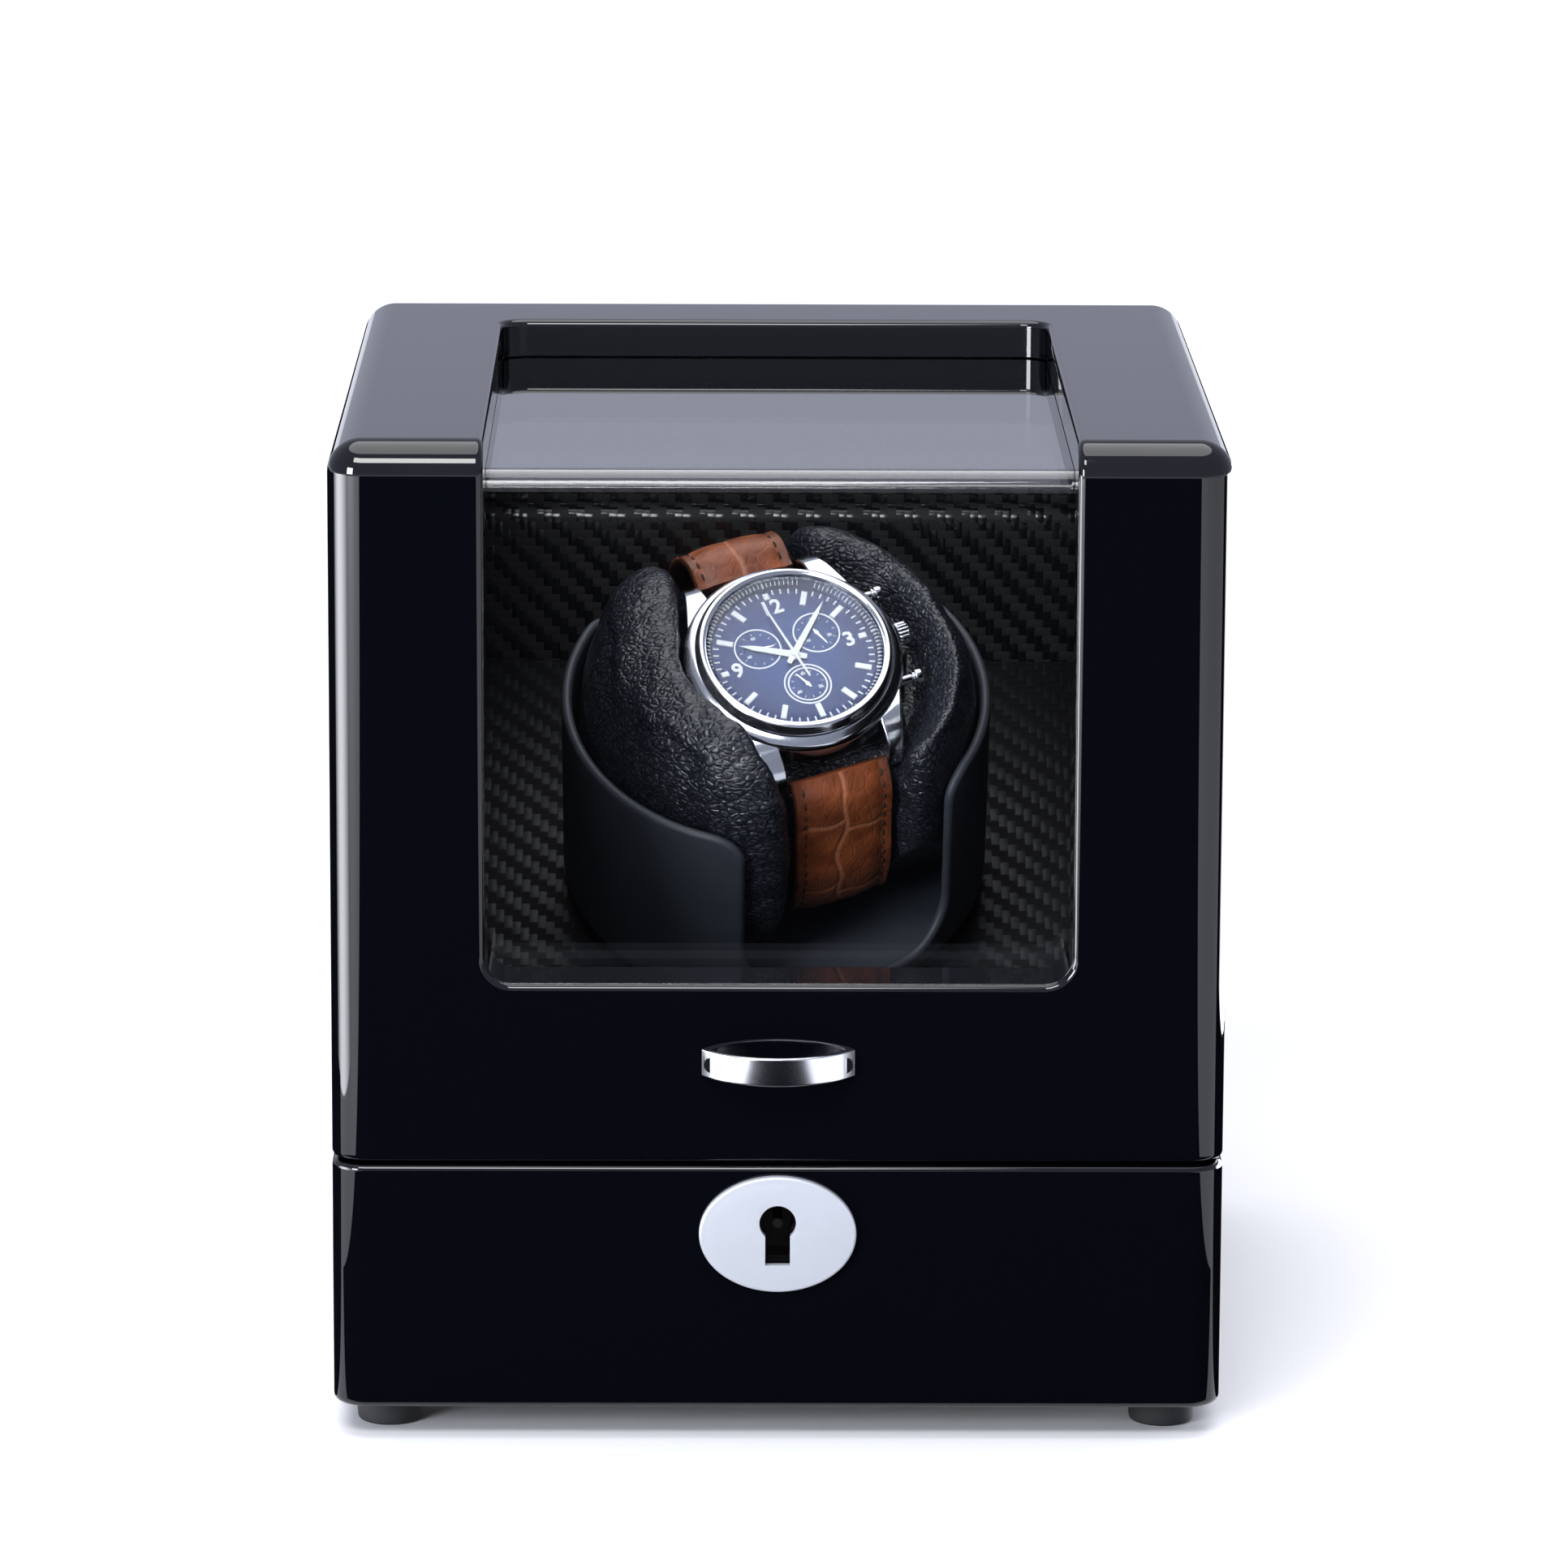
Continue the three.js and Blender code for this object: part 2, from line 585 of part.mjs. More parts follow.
function hingePin(side) {
  const x0 = side * HINGE_X - HINGE_L / 2;
  const shank = barX(HINGE_PIN_R, x0 - 0.2, x0 + HINGE_L + 0.2, HINGE_Y, HINGE_Z, SMALL_SIDES);
  const heads = [
    barX(KNUCKLE_R - 0.5, x0 - 0.9, x0 - 0.2, HINGE_Y, HINGE_Z, SMALL_SIDES),
    barX(KNUCKLE_R - 0.5, x0 + HINGE_L + 0.2, x0 + HINGE_L + 0.9, HINGE_Y, HINGE_Z, SMALL_SIDES),
  ];
  return join(shank, ...heads);
}

// ---------- inner housing ----------
// The cup's frame: origin at the middle of its rim, +Y up the slope, +Z out along its axis.
const cupFrame = new THREE.Group();
cupFrame.position.set(0, RIM_Y, RIM_Z);
cupFrame.rotation.x = degToRad(CUP_LEAN);
cupFrame.updateMatrix();
const intoBox = (geometry) => geometry.applyMatrix4(cupFrame.matrix);

const BUSH_R = 6;

function deckPanel() {
  const board = intoBox(block([-DECK_HALF_W, -130, DECK_BOTTOM], [DECK_HALF_W, 90, DECK_TOP]));
  return cut(
    board,
    intoBox(bar(BUSH_R + GAP, DECK_BOTTOM - 1, DECK_TOP + 1)),
    block([-BOX_W, -200, -50], [BOX_W, DECK_FRONT_Y, LID_TOP]),
    block([-BOX_W, BACK_BOARD_FRONT_Y - GAP, -50], [BOX_W, 200, LID_TOP]),
  );
}

function backBoard() {
  const thickness = BACK_BOARD_BACK_Y - BACK_BOARD_FRONT_Y;
  const roll = thickness / 2;
  const profile = new THREE.Shape();
  profile.moveTo(BACK_BOARD_FRONT_Y, BLOCK_TOP + GAP);
  profile.lineTo(BACK_BOARD_BACK_Y, BLOCK_TOP + GAP);
  profile.absarc(BACK_BOARD_FRONT_Y + roll, BACK_BOARD_TOP - roll, roll, 0, Math.PI, false);
  profile.closePath();
  const board = uprightYZ(slab(profile, -DECK_HALF_W, DECK_HALF_W, 8));
  return cut(board, block([-50, 0, 0], [50, BOX_D, 51]));
}

function cheek(side) {
  const slope = Math.tan(degToRad(CUP_LEAN));
  const underDeck = (y) => {
    const axisY = RIM_Y - DECK_BOTTOM * Math.sin(degToRad(CUP_LEAN));
    const axisZ = RIM_Z + DECK_BOTTOM * Math.cos(degToRad(CUP_LEAN));
    return axisZ + (y - axisY) * slope - GAP;
  };
  const bottom = FLOOR_BOARD_TOP + GAP;
  const profile = polygon([
    [CHEEK_FRONT_Y, bottom],
    [CHEEK_BACK_Y, bottom],
    [CHEEK_BACK_Y, underDeck(CHEEK_BACK_Y)],
    [CHEEK_FRONT_Y, underDeck(CHEEK_FRONT_Y)],
  ]);
  const outer = side * DECK_HALF_W;
  const inner = side * (DECK_HALF_W - CHEEK_T);
  return uprightYZ(slab(profile, Math.min(outer, inner), Math.max(outer, inner)));
}

// ---------- drive ----------
function bearingBush() {
  const bore = SHAFT_R + RUNNING_FIT;
  return turned([
    [bore, DECK_BOTTOM - 1.5],
    [BUSH_R, DECK_BOTTOM - 1.5],
    [BUSH_R, DECK_TOP + GAP],
    [BUSH_R + 2.5, DECK_TOP + GAP],
    [BUSH_R + 2.5, DECK_TOP + 1.3],
    [bore, DECK_TOP + 1.3],
    [bore, DECK_BOTTOM - 1.5],
  ]);
}

function groovedWheel(radius, bore, grooveR) {
  const low = PULLEY_MID - PULLEY_HALF_T;
  const high = PULLEY_MID + PULLEY_HALF_T;
  return turned([
    [bore, low],
    [radius, low],
    [radius, PULLEY_MID - GROOVE_HALF_W - 0.6],
    [grooveR, PULLEY_MID - GROOVE_HALF_W],
    [grooveR, PULLEY_MID + GROOVE_HALF_W],
    [radius, PULLEY_MID + GROOVE_HALF_W + 0.6],
    [radius, high],
    [bore, high],
    [bore, low],
  ]);
}

function rotorPulley() {
  const grooveR = ROTOR_BELT_R - BELT_T / 2 - GAP;
  return groovedWheel(ROTOR_PULLEY_R, SHAFT_R + RUNNING_FIT, grooveR);
}

function motorPulley() {
  const grooveR = MOTOR_BELT_R - BELT_T / 2 - GAP;
  const wheel = groovedWheel(MOTOR_PULLEY_R, 1, grooveR);
  return join(wheel, bar(1.5, BRACKET_TOP - 9, PULLEY_MID + PULLEY_HALF_T, 0, 0, SMALL_SIDES));
}

function rotorShaft() {
  const top = -CUP_DEPTH + CUP_FLOOR_T + 2;
  const bottom = PULLEY_MID - PULLEY_HALF_T - 1.5;
  return turned([
    [0, bottom],
    [SHAFT_R - 0.4, bottom],
    [SHAFT_R, bottom + 0.4],
    [SHAFT_R, top],
    [1.7, top],
    [1.7, top - 9],
    [0, top - 9],
  ]);
}

function spindleScrew() {
  const seat = -CUP_DEPTH + CUP_FLOOR_T + 2.3;
  return turned([
    [0, seat - 8],
    [1.4, seat - 8],
    [1.4, seat],
    [4.2, seat],
    [4.2, seat + 1],
    [3.6, seat + 1.6],
    [1, seat + 1.6],
    [1, seat + 0.8],
    [0, seat + 0.8],
  ], SMALL_SIDES);
}

// Outline of a belt run round two wheels: the first at the origin, the second at (x, y).
function beltOutline(r1, r2, x, y, steps) {
  const distance = Math.hypot(x, y);
  const heading = Math.atan2(y, x);
  const half = Math.acos((r1 - r2) / distance);
  const points = [];
  for (let i = 0; i <= steps * 2; i += 1) {
    const angle = heading + half + ((Math.PI - half) * i) / steps;
    points.push([r1 * Math.cos(angle), r1 * Math.sin(angle)]);
  }
  for (let i = 0; i <= steps; i += 1) {
    const angle = heading - half + (half * 2 * i) / steps;
    points.push([x + r2 * Math.cos(angle), y + r2 * Math.sin(angle)]);
  }
  return points;
}

function driveBelt() {
  const outer = beltOutline(ROTOR_BELT_R + BELT_T / 2, MOTOR_BELT_R + BELT_T / 2, MOTOR_X, MOTOR_UP, 14);
  const inner = beltOutline(ROTOR_BELT_R - BELT_T / 2, MOTOR_BELT_R - BELT_T / 2, MOTOR_X, MOTOR_UP, 14);
  const shape = polygon(outer);
  shape.holes.push(polygon(inner));
  return slab(shape, PULLEY_MID - BELT_W / 2, PULLEY_MID + BELT_W / 2);
}

function gearMotor() {
  const top = BRACKET_TOP - BRACKET_T - GAP;
  const gearbox = bar(12, top - 14, top);
  const can = bar(10, top - 30, top - 13);
  const endBoss = bar(3, top - 31.5, top - 29, 0, 0, SMALL_SIDES);
  const shaftRoom = bar(2, top - 8, top + 1, 0, 0, SMALL_SIDES);
  return cut(join(gearbox, can, endBoss), shaftRoom).translate(MOTOR_X, MOTOR_UP, 0);
}

// A plate under the motor pulley, hung from the deck on two side plates clear of the belt.
function motorBracket() {
  const x0 = 23;
  const x1 = 53;
  const y0 = -6;
  const y1 = 25;
  const low = BRACKET_TOP - BRACKET_T;
  const hang = DECK_BOTTOM - GAP;
  return cut(
    join(
      block([x0, y0, low], [x1, y1, BRACKET_TOP]),
      block([x1 - BRACKET_T, y0, low], [x1, y1, hang]),
      block([x0, y1 - BRACKET_T, low], [x1, y1, hang]),
    ),
    bar(2.6, low - 1, BRACKET_TOP + 1, MOTOR_X, MOTOR_UP, SMALL_SIDES),
  );
}

// ---------- electrics ----------
function rearPanel() {
  const plate = block([-PANEL_HALF_W, PANEL_FRONT_Y, 13], [PANEL_HALF_W, PANEL_BACK_Y, 49.5]);
  return cut(
    plate,
    barY(4.4, PANEL_FRONT_Y - 1, PANEL_BACK_Y + 1, JACK_X, CONTROL_Z, 16),
    barY(4, PANEL_FRONT_Y - 1, PANEL_BACK_Y + 1, KNOB_X, CONTROL_Z, 16),
  );
}

function controlBoard() {
  return block([-34, BOARD_Y, 15], [34, BOARD_Y + 1.6, 46]);
}

function dcJack() {
  const back = BOARD_Y + 1.9;
  const mouth = PANEL_BACK_Y - 0.2;
  return join(
    cut(
      join(
        block([JACK_X - 5, back, CONTROL_Z - 6], [JACK_X + 5, PANEL_FRONT_Y - GAP, CONTROL_Z + 5]),
        barY(4, back + 2, mouth, JACK_X, CONTROL_Z, 16),
      ),
      barY(2.9, mouth - 9, mouth + 1, JACK_X, CONTROL_Z, 16),
    ),
    barY(1, mouth - 9.5, mouth - 1, JACK_X, CONTROL_Z, 16),
  );
}

function modeSwitchBody() {
  const back = BOARD_Y + 1.9;
  return cut(
    join(
      block([KNOB_X - 7, back, CONTROL_Z - 7], [KNOB_X + 7, PANEL_FRONT_Y - GAP, CONTROL_Z + 7]),
      barY(3.6, back + 2, PANEL_BACK_Y + 2.5, KNOB_X, CONTROL_Z, 16),
    ),
    barY(2.4, back + 4, PANEL_BACK_Y + 4, KNOB_X, CONTROL_Z, 16),
  );
}

// A round knob with a raised pointer rib, on a stem that runs into the switch.
function modeKnob() {
  const near = PANEL_BACK_Y + 3;
  const far = BOX_BACK - 0.8;
  return join(
    barY(8, near, far - 3.5, KNOB_X, CONTROL_Z, 24),
    block([KNOB_X - 1.6, far - 4, CONTROL_Z - 7], [KNOB_X + 1.6, far, CONTROL_Z + 7]),
    barY(2, BOARD_Y + 7, near + 1, KNOB_X, CONTROL_Z, SMALL_SIDES),
  );
}

// Two-core lead from the motor's end to the board, one outer tube.
function motorLead() {
  const motorEnd = BRACKET_TOP - BRACKET_T - 32.5;
  const start = new THREE.Vector3(MOTOR_X, MOTOR_UP, motorEnd).applyMatrix4(cupFrame.matrix);
  const down = new THREE.Vector3(0, 0, -1).transformDirection(cupFrame.matrix);
  const leave = start.clone().addScaledVector(down, 5);
  const route = new THREE.CatmullRomCurve3([
    start,
    leave,
    new THREE.Vector3(33, 51, 34),
    new THREE.Vector3(27, 50, 34),
    new THREE.Vector3(20, 53, 38),
    new THREE.Vector3(20, BOARD_Y - GAP, 38),
  ]);
  const circle = new THREE.Shape();
  circle.absarc(0, 0, 1.2, 0, Math.PI * 2);
  return new THREE.ExtrudeGeometry(circle, { steps: 20, curveSegments: 4, extrudePath: route });
}

// ---------- rotor ----------
function cup() {
  const inner = CUP_R - CUP_WALL;
  const floor = -CUP_DEPTH + CUP_FLOOR_T;
  const body = turned([
    [SHAFT_R + RUNNING_FIT, -CUP_DEPTH],
    [CUP_R - 3, -CUP_DEPTH],
    [CUP_R - 0.9, -CUP_DEPTH + 0.9],
    [CUP_R, -CUP_DEPTH + 3],
    [CUP_R, -0.8],
    [CUP_R - 0.6, 0],
    [inner + 0.6, 0],
    [inner, -0.8],
    [inner, floor + 2],
    [inner - 2, floor],
    [8, floor],
    [8, floor + 2],
    [SHAFT_R + RUNNING_FIT, floor + 2],
    [SHAFT_R + RUNNING_FIT, -CUP_DEPTH],
  ], CUP_SIDES);
  return cut(body, strapCutout());
}

// A U seen from 6 o'clock, swept through the 6 and 12 o'clock sides of the cup's wall.
function strapCutout() {
  const w = CUTOUT_HALF_W;
  const up = CUTOUT_UPPER_R;
  const low = CUTOUT_LOWER_R;
  const shape = new THREE.Shape();
  shape.moveTo(-w - up, 2);
  shape.lineTo(-w - up, 0);
  shape.absarc(-w - up, -up, up, Math.PI / 2, 0, true);
  shape.absarc(low - w, low - CUTOUT_DEPTH, low, Math.PI, Math.PI * 1.5, false);
  shape.absarc(w - low, low - CUTOUT_DEPTH, low, Math.PI * 1.5, Math.PI * 2, false);
  shape.absarc(w + up, -up, up, Math.PI, Math.PI / 2, true);
  shape.lineTo(w + up, 2);
  shape.closePath();
  return uprightXZ(slab(shape, -50, 50, 5));
}

const STRAP_HALF_GROOVE = STRAP_W / 2 + 0.9;

// How far the cushion reaches towards 6 and 12 o'clock, up and down, at a distance across the watch.
function cushionSection(across) {
  const edge = Math.min(Math.abs(across) / CUSHION_R, 1);
  const plan = CUSHION_R * Math.sqrt(1 - edge ** 2);
  const inGroove = Math.abs(across - WATCH_ACROSS) <= STRAP_HALF_GROOVE;
  if (inGroove) return { front: -26, back: 33.5, top: 4, bottom: -33.5 };
  const crown = (1 - edge ** 3.2) ** 0.6;
  const top = CUSHION_TOP * crown - 4 * (1 - crown);
  return { front: -plan, back: plan, top, bottom: CUSHION_BOTTOM + 8 * (1 - crown) };
}

// A pillow that fills the cup, with a groove round its middle for the strap.
function cushion() {
  const stations = [-37.6, -35.5, -32, -26, -19, -12, WATCH_ACROSS - STRAP_HALF_GROOVE - 0.4];
  stations.push(WATCH_ACROSS - STRAP_HALF_GROOVE + 0.1, WATCH_ACROSS + STRAP_HALF_GROOVE - 0.1);
  stations.push(WATCH_ACROSS + STRAP_HALF_GROOVE + 0.4, 19, 26, 32, 35.5, 37.6);
  const around = 24;
  const rings = stations.map((across) => {
    const section = cushionSection(across);
    const midV = (section.front + section.back) / 2;
    const midA = (section.top + section.bottom) / 2;
    const ring = [];
    for (let j = 0; j < around; j += 1) {
      const angle = (2 * Math.PI * j) / around;
      const squared = (value) => Math.sign(value) * Math.abs(value) ** 0.72;
      ring.push([
        across,
        midV + squared(Math.cos(angle)) * (section.back - midV),
        midA + squared(Math.sin(angle)) * (section.top - midA),
      ]);
    }
    return ring;
  });
  const endA = -12;
  const pillow = skinned([-38.2, 0, endA], rings, [38.2, 0, endA]);
  const cupInside = turned([
    [0, CUSHION_BOTTOM],
    [CUSHION_R - 3, CUSHION_BOTTOM],
    [CUSHION_R, CUSHION_BOTTOM + 3],
    [CUSHION_R, 30],
    [0, 30],
  ], CUP_SIDES);
  const hubRoom = bar(9, -CUP_DEPTH, -CUP_DEPTH + CUP_FLOOR_T + 4.4);
  const buckleHalfW = STRAP_W / 2 + 3;
  const buckleRoom = block(
    [WATCH_ACROSS - buckleHalfW, BUCKLE_V - 7, -50],
    [WATCH_ACROSS + buckleHalfW, BUCKLE_V + 7, BUCKLE_TOP + 0.6],
  );
  const trimmed = toGeometry(toSolid(pillow).intersect(toSolid(cupInside)));
  return cut(trimmed, intoRotor(watchRoom()), hubRoom, buckleRoom);
}

// ---------- watch ----------
const watchFrame = new THREE.Group();
watchFrame.position.set(WATCH_ACROSS, -WATCH_TOWARDS_SIX, WATCH_UP);
watchFrame.rotation.x = degToRad(WATCH_TILT);
watchFrame.updateMatrix();
const intoRotor = (geometry) => geometry.applyMatrix4(watchFrame.matrix);

// The space the watch, its lugs and its buttons take up in the cushion.
function watchRoom() {
  const lugHalfW = LUG_INNER + LUG_T + 0.6;
  return join(
    bar(CASE_R + 0.6, CASE_BOTTOM - 0.5, 40, 0, 0, WATCH_SIDES),
    block([-lugHalfW, -LUG_REACH - 1, CASE_BOTTOM - 1.6], [lugHalfW, LUG_REACH + 1, 40]),
    block([0, -PUSHER_OFFSET - 2.6, -6.4], [27, PUSHER_OFFSET + 2.6, 40]),
  );
}

// One lug outline in the plane of 12 o'clock (+X) and the dial's normal (+Y).
function lugShape() {
  const shape = new THREE.Shape();
  shape.moveTo(13, CASE_BOTTOM + 1.4);
  shape.lineTo(22.4, CASE_BOTTOM - 0.9);
  shape.quadraticCurveTo(LUG_REACH + 0.4, CASE_BOTTOM - 1, LUG_REACH, CASE_BOTTOM + 1.6);
  shape.quadraticCurveTo(22.6, CASE_BOTTOM + 6.2, 18, -0.6);
  shape.lineTo(13, -0.6);
  shape.closePath();
  return shape;
}

function lug(sideX, sideY) {
  const plate = uprightYZ(slab(lugShape(), LUG_INNER, LUG_INNER + LUG_T, 5));
  if (sideX < 0) plate.translate(-2 * LUG_INNER - LUG_T, 0, 0);
  if (sideY < 0) plate.rotateZ(Math.PI);
  return plate;
}

const PUSHERS = { start: PUSHER_OFFSET, reset: -PUSHER_OFFSET };
const CONTROLS_Z = -3.2;
const STEM_R = 0.9;
const STEM_FROM = 16;
const STEM_HOLE_R = 1.3;
const STEM_HOLE_BOTTOM = 14.5; // leaves room for a pressed stem
const STEM_HOLE_TO = 30; // past the case's outer face
const CROWN_R = 2.3;
const CROWN_FROM = 21.4;
const CROWN_TO = 24.2;
const PUSHER_R = 1.5;
const PUSHER_FROM = 20.5;
const PUSHER_TO = 22.7;

function watchCase() {
  const body = turned([
    [0, CASE_BOTTOM],
    [17, CASE_BOTTOM],
    [18.6, CASE_BOTTOM + 0.9],
    [CASE_R, CASE_BOTTOM + 3.4],
    [CASE_R, -1.2],
    [20.1, 0.4],
    [18, 0.4],
    [18, -0.9],
    [0, -0.9],
  ], WATCH_SIDES);
  const lugs = [lug(1, 1), lug(-1, 1), lug(1, -1), lug(-1, -1)];
  const dialWell = bar(18, -0.9, 5, 0, 0, WATCH_SIDES);
  const stemHoles = [0, ...Object.values(PUSHERS)].map((y) =>
    barX(STEM_HOLE_R, STEM_HOLE_BOTTOM, STEM_HOLE_TO, y, CONTROLS_Z, 12));
  return cut(join(body, ...lugs), dialWell, ...stemHoles);
}

function watchDial() {
  return bar(17.6, -0.6, 0, 0, 0, WATCH_SIDES);
}

function watchBezel() {
  return turned([
    [GLASS_R, 0.7],
    [BEZEL_R, 0.7],
    [BEZEL_R, 1.3],
    [18.4, 2.5],
    [17.4, 2.8],
    [GLASS_R, 2.6],
    [GLASS_R, 0.7],
  ], WATCH_SIDES);
}

function watchCrystal() {
  return turned([
    [0, 1.5],
    [GLASS_R - 0.3, 1.5],
    [GLASS_R - 0.3, 2.4],
    [11, 2.75],
    [0, 2.95],
  ], WATCH_SIDES);
}

function watchHand(length, width, tail, z0, turn) {
  const shape = polygon([
    [-width * 0.35, -tail],
    [width * 0.35, -tail],
    [width / 2, 0],
    [width * 0.35, length * 0.75],
    [0, length],
    [-width * 0.35, length * 0.75],
    [-width / 2, 0],
  ]);
  const hub = bar(width * 0.5 + 0.5, z0, z0 + 0.22, 0, 0, SMALL_SIDES);
  return join(slab(shape, z0, z0 + 0.2), hub).rotateZ(degToRad(-turn));
}

// A button on the side of the case: a round head and a stem that runs into the case.
function sideButton(headR, headFrom, headTo, y, sides) {
  const head = barX(headR, headFrom, headTo, y, CONTROLS_Z, sides);
  const stem = barX(STEM_R, STEM_FROM, headFrom + 0.5, y, CONTROLS_Z, 12);
  return join(head, stem);
}

function crown() {
  return sideButton(CROWN_R, CROWN_FROM, CROWN_TO, 0, 24);
}

function pusher(y) {
  return sideButton(PUSHER_R, PUSHER_FROM, PUSHER_TO, y, 20);
}

// Strap routes in the plane of 12 o'clock (+X) and the cup's axis (+Y).
const UPPER_ROUTE = [
  [19.6, 12.4], [25, 14.2], [30.3, 11.2], [34.6, 4], [36.2, -7], [35.5, -20], [30, -31], [18, -36.2], [5, -37.2],
];
const LOWER_ROUTE = [
  [-26.6, 3], [-29.3, -2.5], [-29.3, -12], [-29.3, -22], [-26, -31.5], [-17, -36.4], [-2, -37.2],
];

function strapPiece(route) {
  const curve = new THREE.SplineCurve(route.map(([v, a]) => new THREE.Vector2(v, a)));
  const band = uprightYZ(slab(strip(curve, STRAP_T, 28), -STRAP_W / 2, STRAP_W / 2));
  return band.translate(WATCH_ACROSS, 0, 0);
}

function strapBuckle() {
  const frame = roundedRectangle(STRAP_W / 2 + 2.2, 5.5, 1.5);
  frame.holes.push(roundedRectangle(STRAP_W / 2 + 0.5, 3.6, 0.8));
  return slab(frame, BUCKLE_TOP - 1.5, BUCKLE_TOP, 4).translate(WATCH_ACROSS, BUCKLE_V, 0);
}

// ---------- assembly ----------
addPiece(wholeObject, 'base_shell', baseShell(), LACQUER);
addPiece(wholeObject, 'base_floor_board', floorBoard(), BOARD);
for (const [corner, [sx, sy]] of Object.entries(CORNERS)) {
  const [x, y] = blockCentre(sx, sy);
  addPiece(wholeObject, `foot_${corner}`, foot(), RUBBER).position.set(sx * FOOT_X, sy * FOOT_Y, 0);
  addPiece(wholeObject, `floor_screw_${corner}`, floorScrew(), STEEL).position.set(x, y, 0);
}

addPiece(wholeObject, 'lid_shell', lidShell(), LACQUER);
addPiece(wholeObject, 'lid_window', lidWindow(), ACRYLIC);
addPiece(wholeObject, 'lid_back_liner', lidBackLiner(), CARBON_LEATHER);
addPiece(wholeObject, 'lid_strike_plate', strikePlate(), STEEL);
addPiece(wholeObject, 'lid_handle', handle(), CHROME);

addPiece(wholeObject, 'lock_escutcheon', escutcheon(), SATIN_CHROME);
addPiece(wholeObject, 'lock_case', lockCase(), STEEL);
addPiece(wholeObject, 'lock_bolt', lockBolt(), STEEL);
addPiece(wholeObject, 'lock_key_post', barY(0.9, BOX_FRONT - 1.2, -75.3, 0, KEYHOLE_Z, 16), SATIN_CHROME);

const baseLeafZ = [BASE_TOP - LEAF_T - 0.1, BASE_TOP - 0.1];
const lidLeafZ = [LID_BOTTOM + 0.1, LID_BOTTOM + LEAF_T + 0.1];
for (const [name, side] of Object.entries(SIDES)) {
  addPiece(wholeObject, `lid_handle_nut_${name}`, handleNut(side), STEEL);
  addPiece(wholeObject, `hinge_base_leaf_${name}`, hingeLeaf(side, ...baseLeafZ, BASE_KNUCKLES), BRASS);
  addPiece(wholeObject, `hinge_lid_leaf_${name}`, hingeLeaf(side, ...lidLeafZ, LID_KNUCKLE), BRASS);
  addPiece(wholeObject, `hinge_pin_${name}`, hingePin(side), STEEL);
  addPiece(wholeObject, `housing_${name}_cheek`, cheek(side), CARBON_LEATHER);
}

addPiece(wholeObject, 'deck_panel', deckPanel(), CARBON_LEATHER);
addPiece(wholeObject, 'housing_back_board', backBoard(), CARBON_LEATHER);
addPiece(wholeObject, 'rear_control_panel', rearPanel(), BLACK_PLASTIC);
addPiece(wholeObject, 'control_board', controlBoard(), CIRCUIT_GREEN);
addPiece(wholeObject, 'dc_jack', dcJack(), BLACK_PLASTIC);
addPiece(wholeObject, 'mode_switch_body', modeSwitchBody(), BLACK_PLASTIC);
addPiece(wholeObject, 'mode_knob', modeKnob(), BLACK_PLASTIC);
addPiece(wholeObject, 'motor_lead', motorLead(), CABLE_BLACK);

addPiece(cupFrame, 'rotor_bearing_bush', bearingBush(), BRONZE);
addPiece(cupFrame, 'motor_bracket', motorBracket(), STEEL);
addPiece(cupFrame, 'gear_motor', gearMotor(), STEEL);
addPiece(cupFrame, 'drive_belt', driveBelt(), RUBBER);
addPiece(cupFrame, 'motor_pulley', motorPulley(), WHITE_PLASTIC).position.set(MOTOR_X, MOTOR_UP, 0);

const rotorFrame = new THREE.Group();
rotorFrame.rotation.z = degToRad(CUP_TURN);
addPiece(rotorFrame, 'rotor_shaft', rotorShaft(), STEEL);
addPiece(rotorFrame, 'rotor_pulley', rotorPulley(), WHITE_PLASTIC);
addPiece(rotorFrame, 'spindle_screw', spindleScrew(), STEEL);
addPiece(rotorFrame, 'rotor_cup', cup(), SOFT_PLASTIC);
addPiece(rotorFrame, 'watch_cushion', cushion(), GRAIN_LEATHER);
addPiece(rotorFrame, 'strap_upper', strapPiece(UPPER_ROUTE), BROWN_LEATHER);
addPiece(rotorFrame, 'strap_lower', strapPiece(LOWER_ROUTE), BROWN_LEATHER);
addPiece(rotorFrame, 'strap_buckle', strapBuckle(), STEEL);

addPiece(watchFrame, 'watch_case', watchCase(), CHROME);
addPiece(watchFrame, 'watch_bezel', watchBezel(), CHROME);
addPiece(watchFrame, 'watch_dial', watchDial(), DIAL_BLUE);
addPiece(watchFrame, 'watch_crystal', watchCrystal(), ACRYLIC);
addPiece(watchFrame, 'watch_hour_hand', watchHand(10.5, 1.5, 2.5, 0.25, 299), CHROME);
addPiece(watchFrame, 'watch_minute_hand', watchHand(13.7, 1.3, 2.5, 0.6, 46), CHROME);
addPiece(watchFrame, 'watch_seconds_hand', watchHand(12.6, 0.5, 6, 0.95, 352.5), CHROME);
addPiece(watchFrame, 'watch_crown', crown(), CHROME);
for (const [name, y] of Object.entries(PUSHERS)) {
  addPiece(watchFrame, `watch_${name}_pusher`, pusher(y), CHROME);
}

rotorFrame.add(watchFrame);
cupFrame.add(rotorFrame);
wholeObject.add(cupFrame);

// The handle is the foremost point and the hinge knuckles are the rearmost.
const foremost = BOX_FRONT - HANDLE_BOW;
const rearmost = HINGE_Y + KNUCKLE_R;
wholeObject.position.y = -(foremost + rearmost) / 2;

export default wholeObject;
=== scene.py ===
"""Looks for the watch winder box: fine lacquer shells, acrylic pane, padded cushion and watch."""
import math

import bmesh
import bpy
import numpy as np
from mathutils import Matrix, Vector, noise


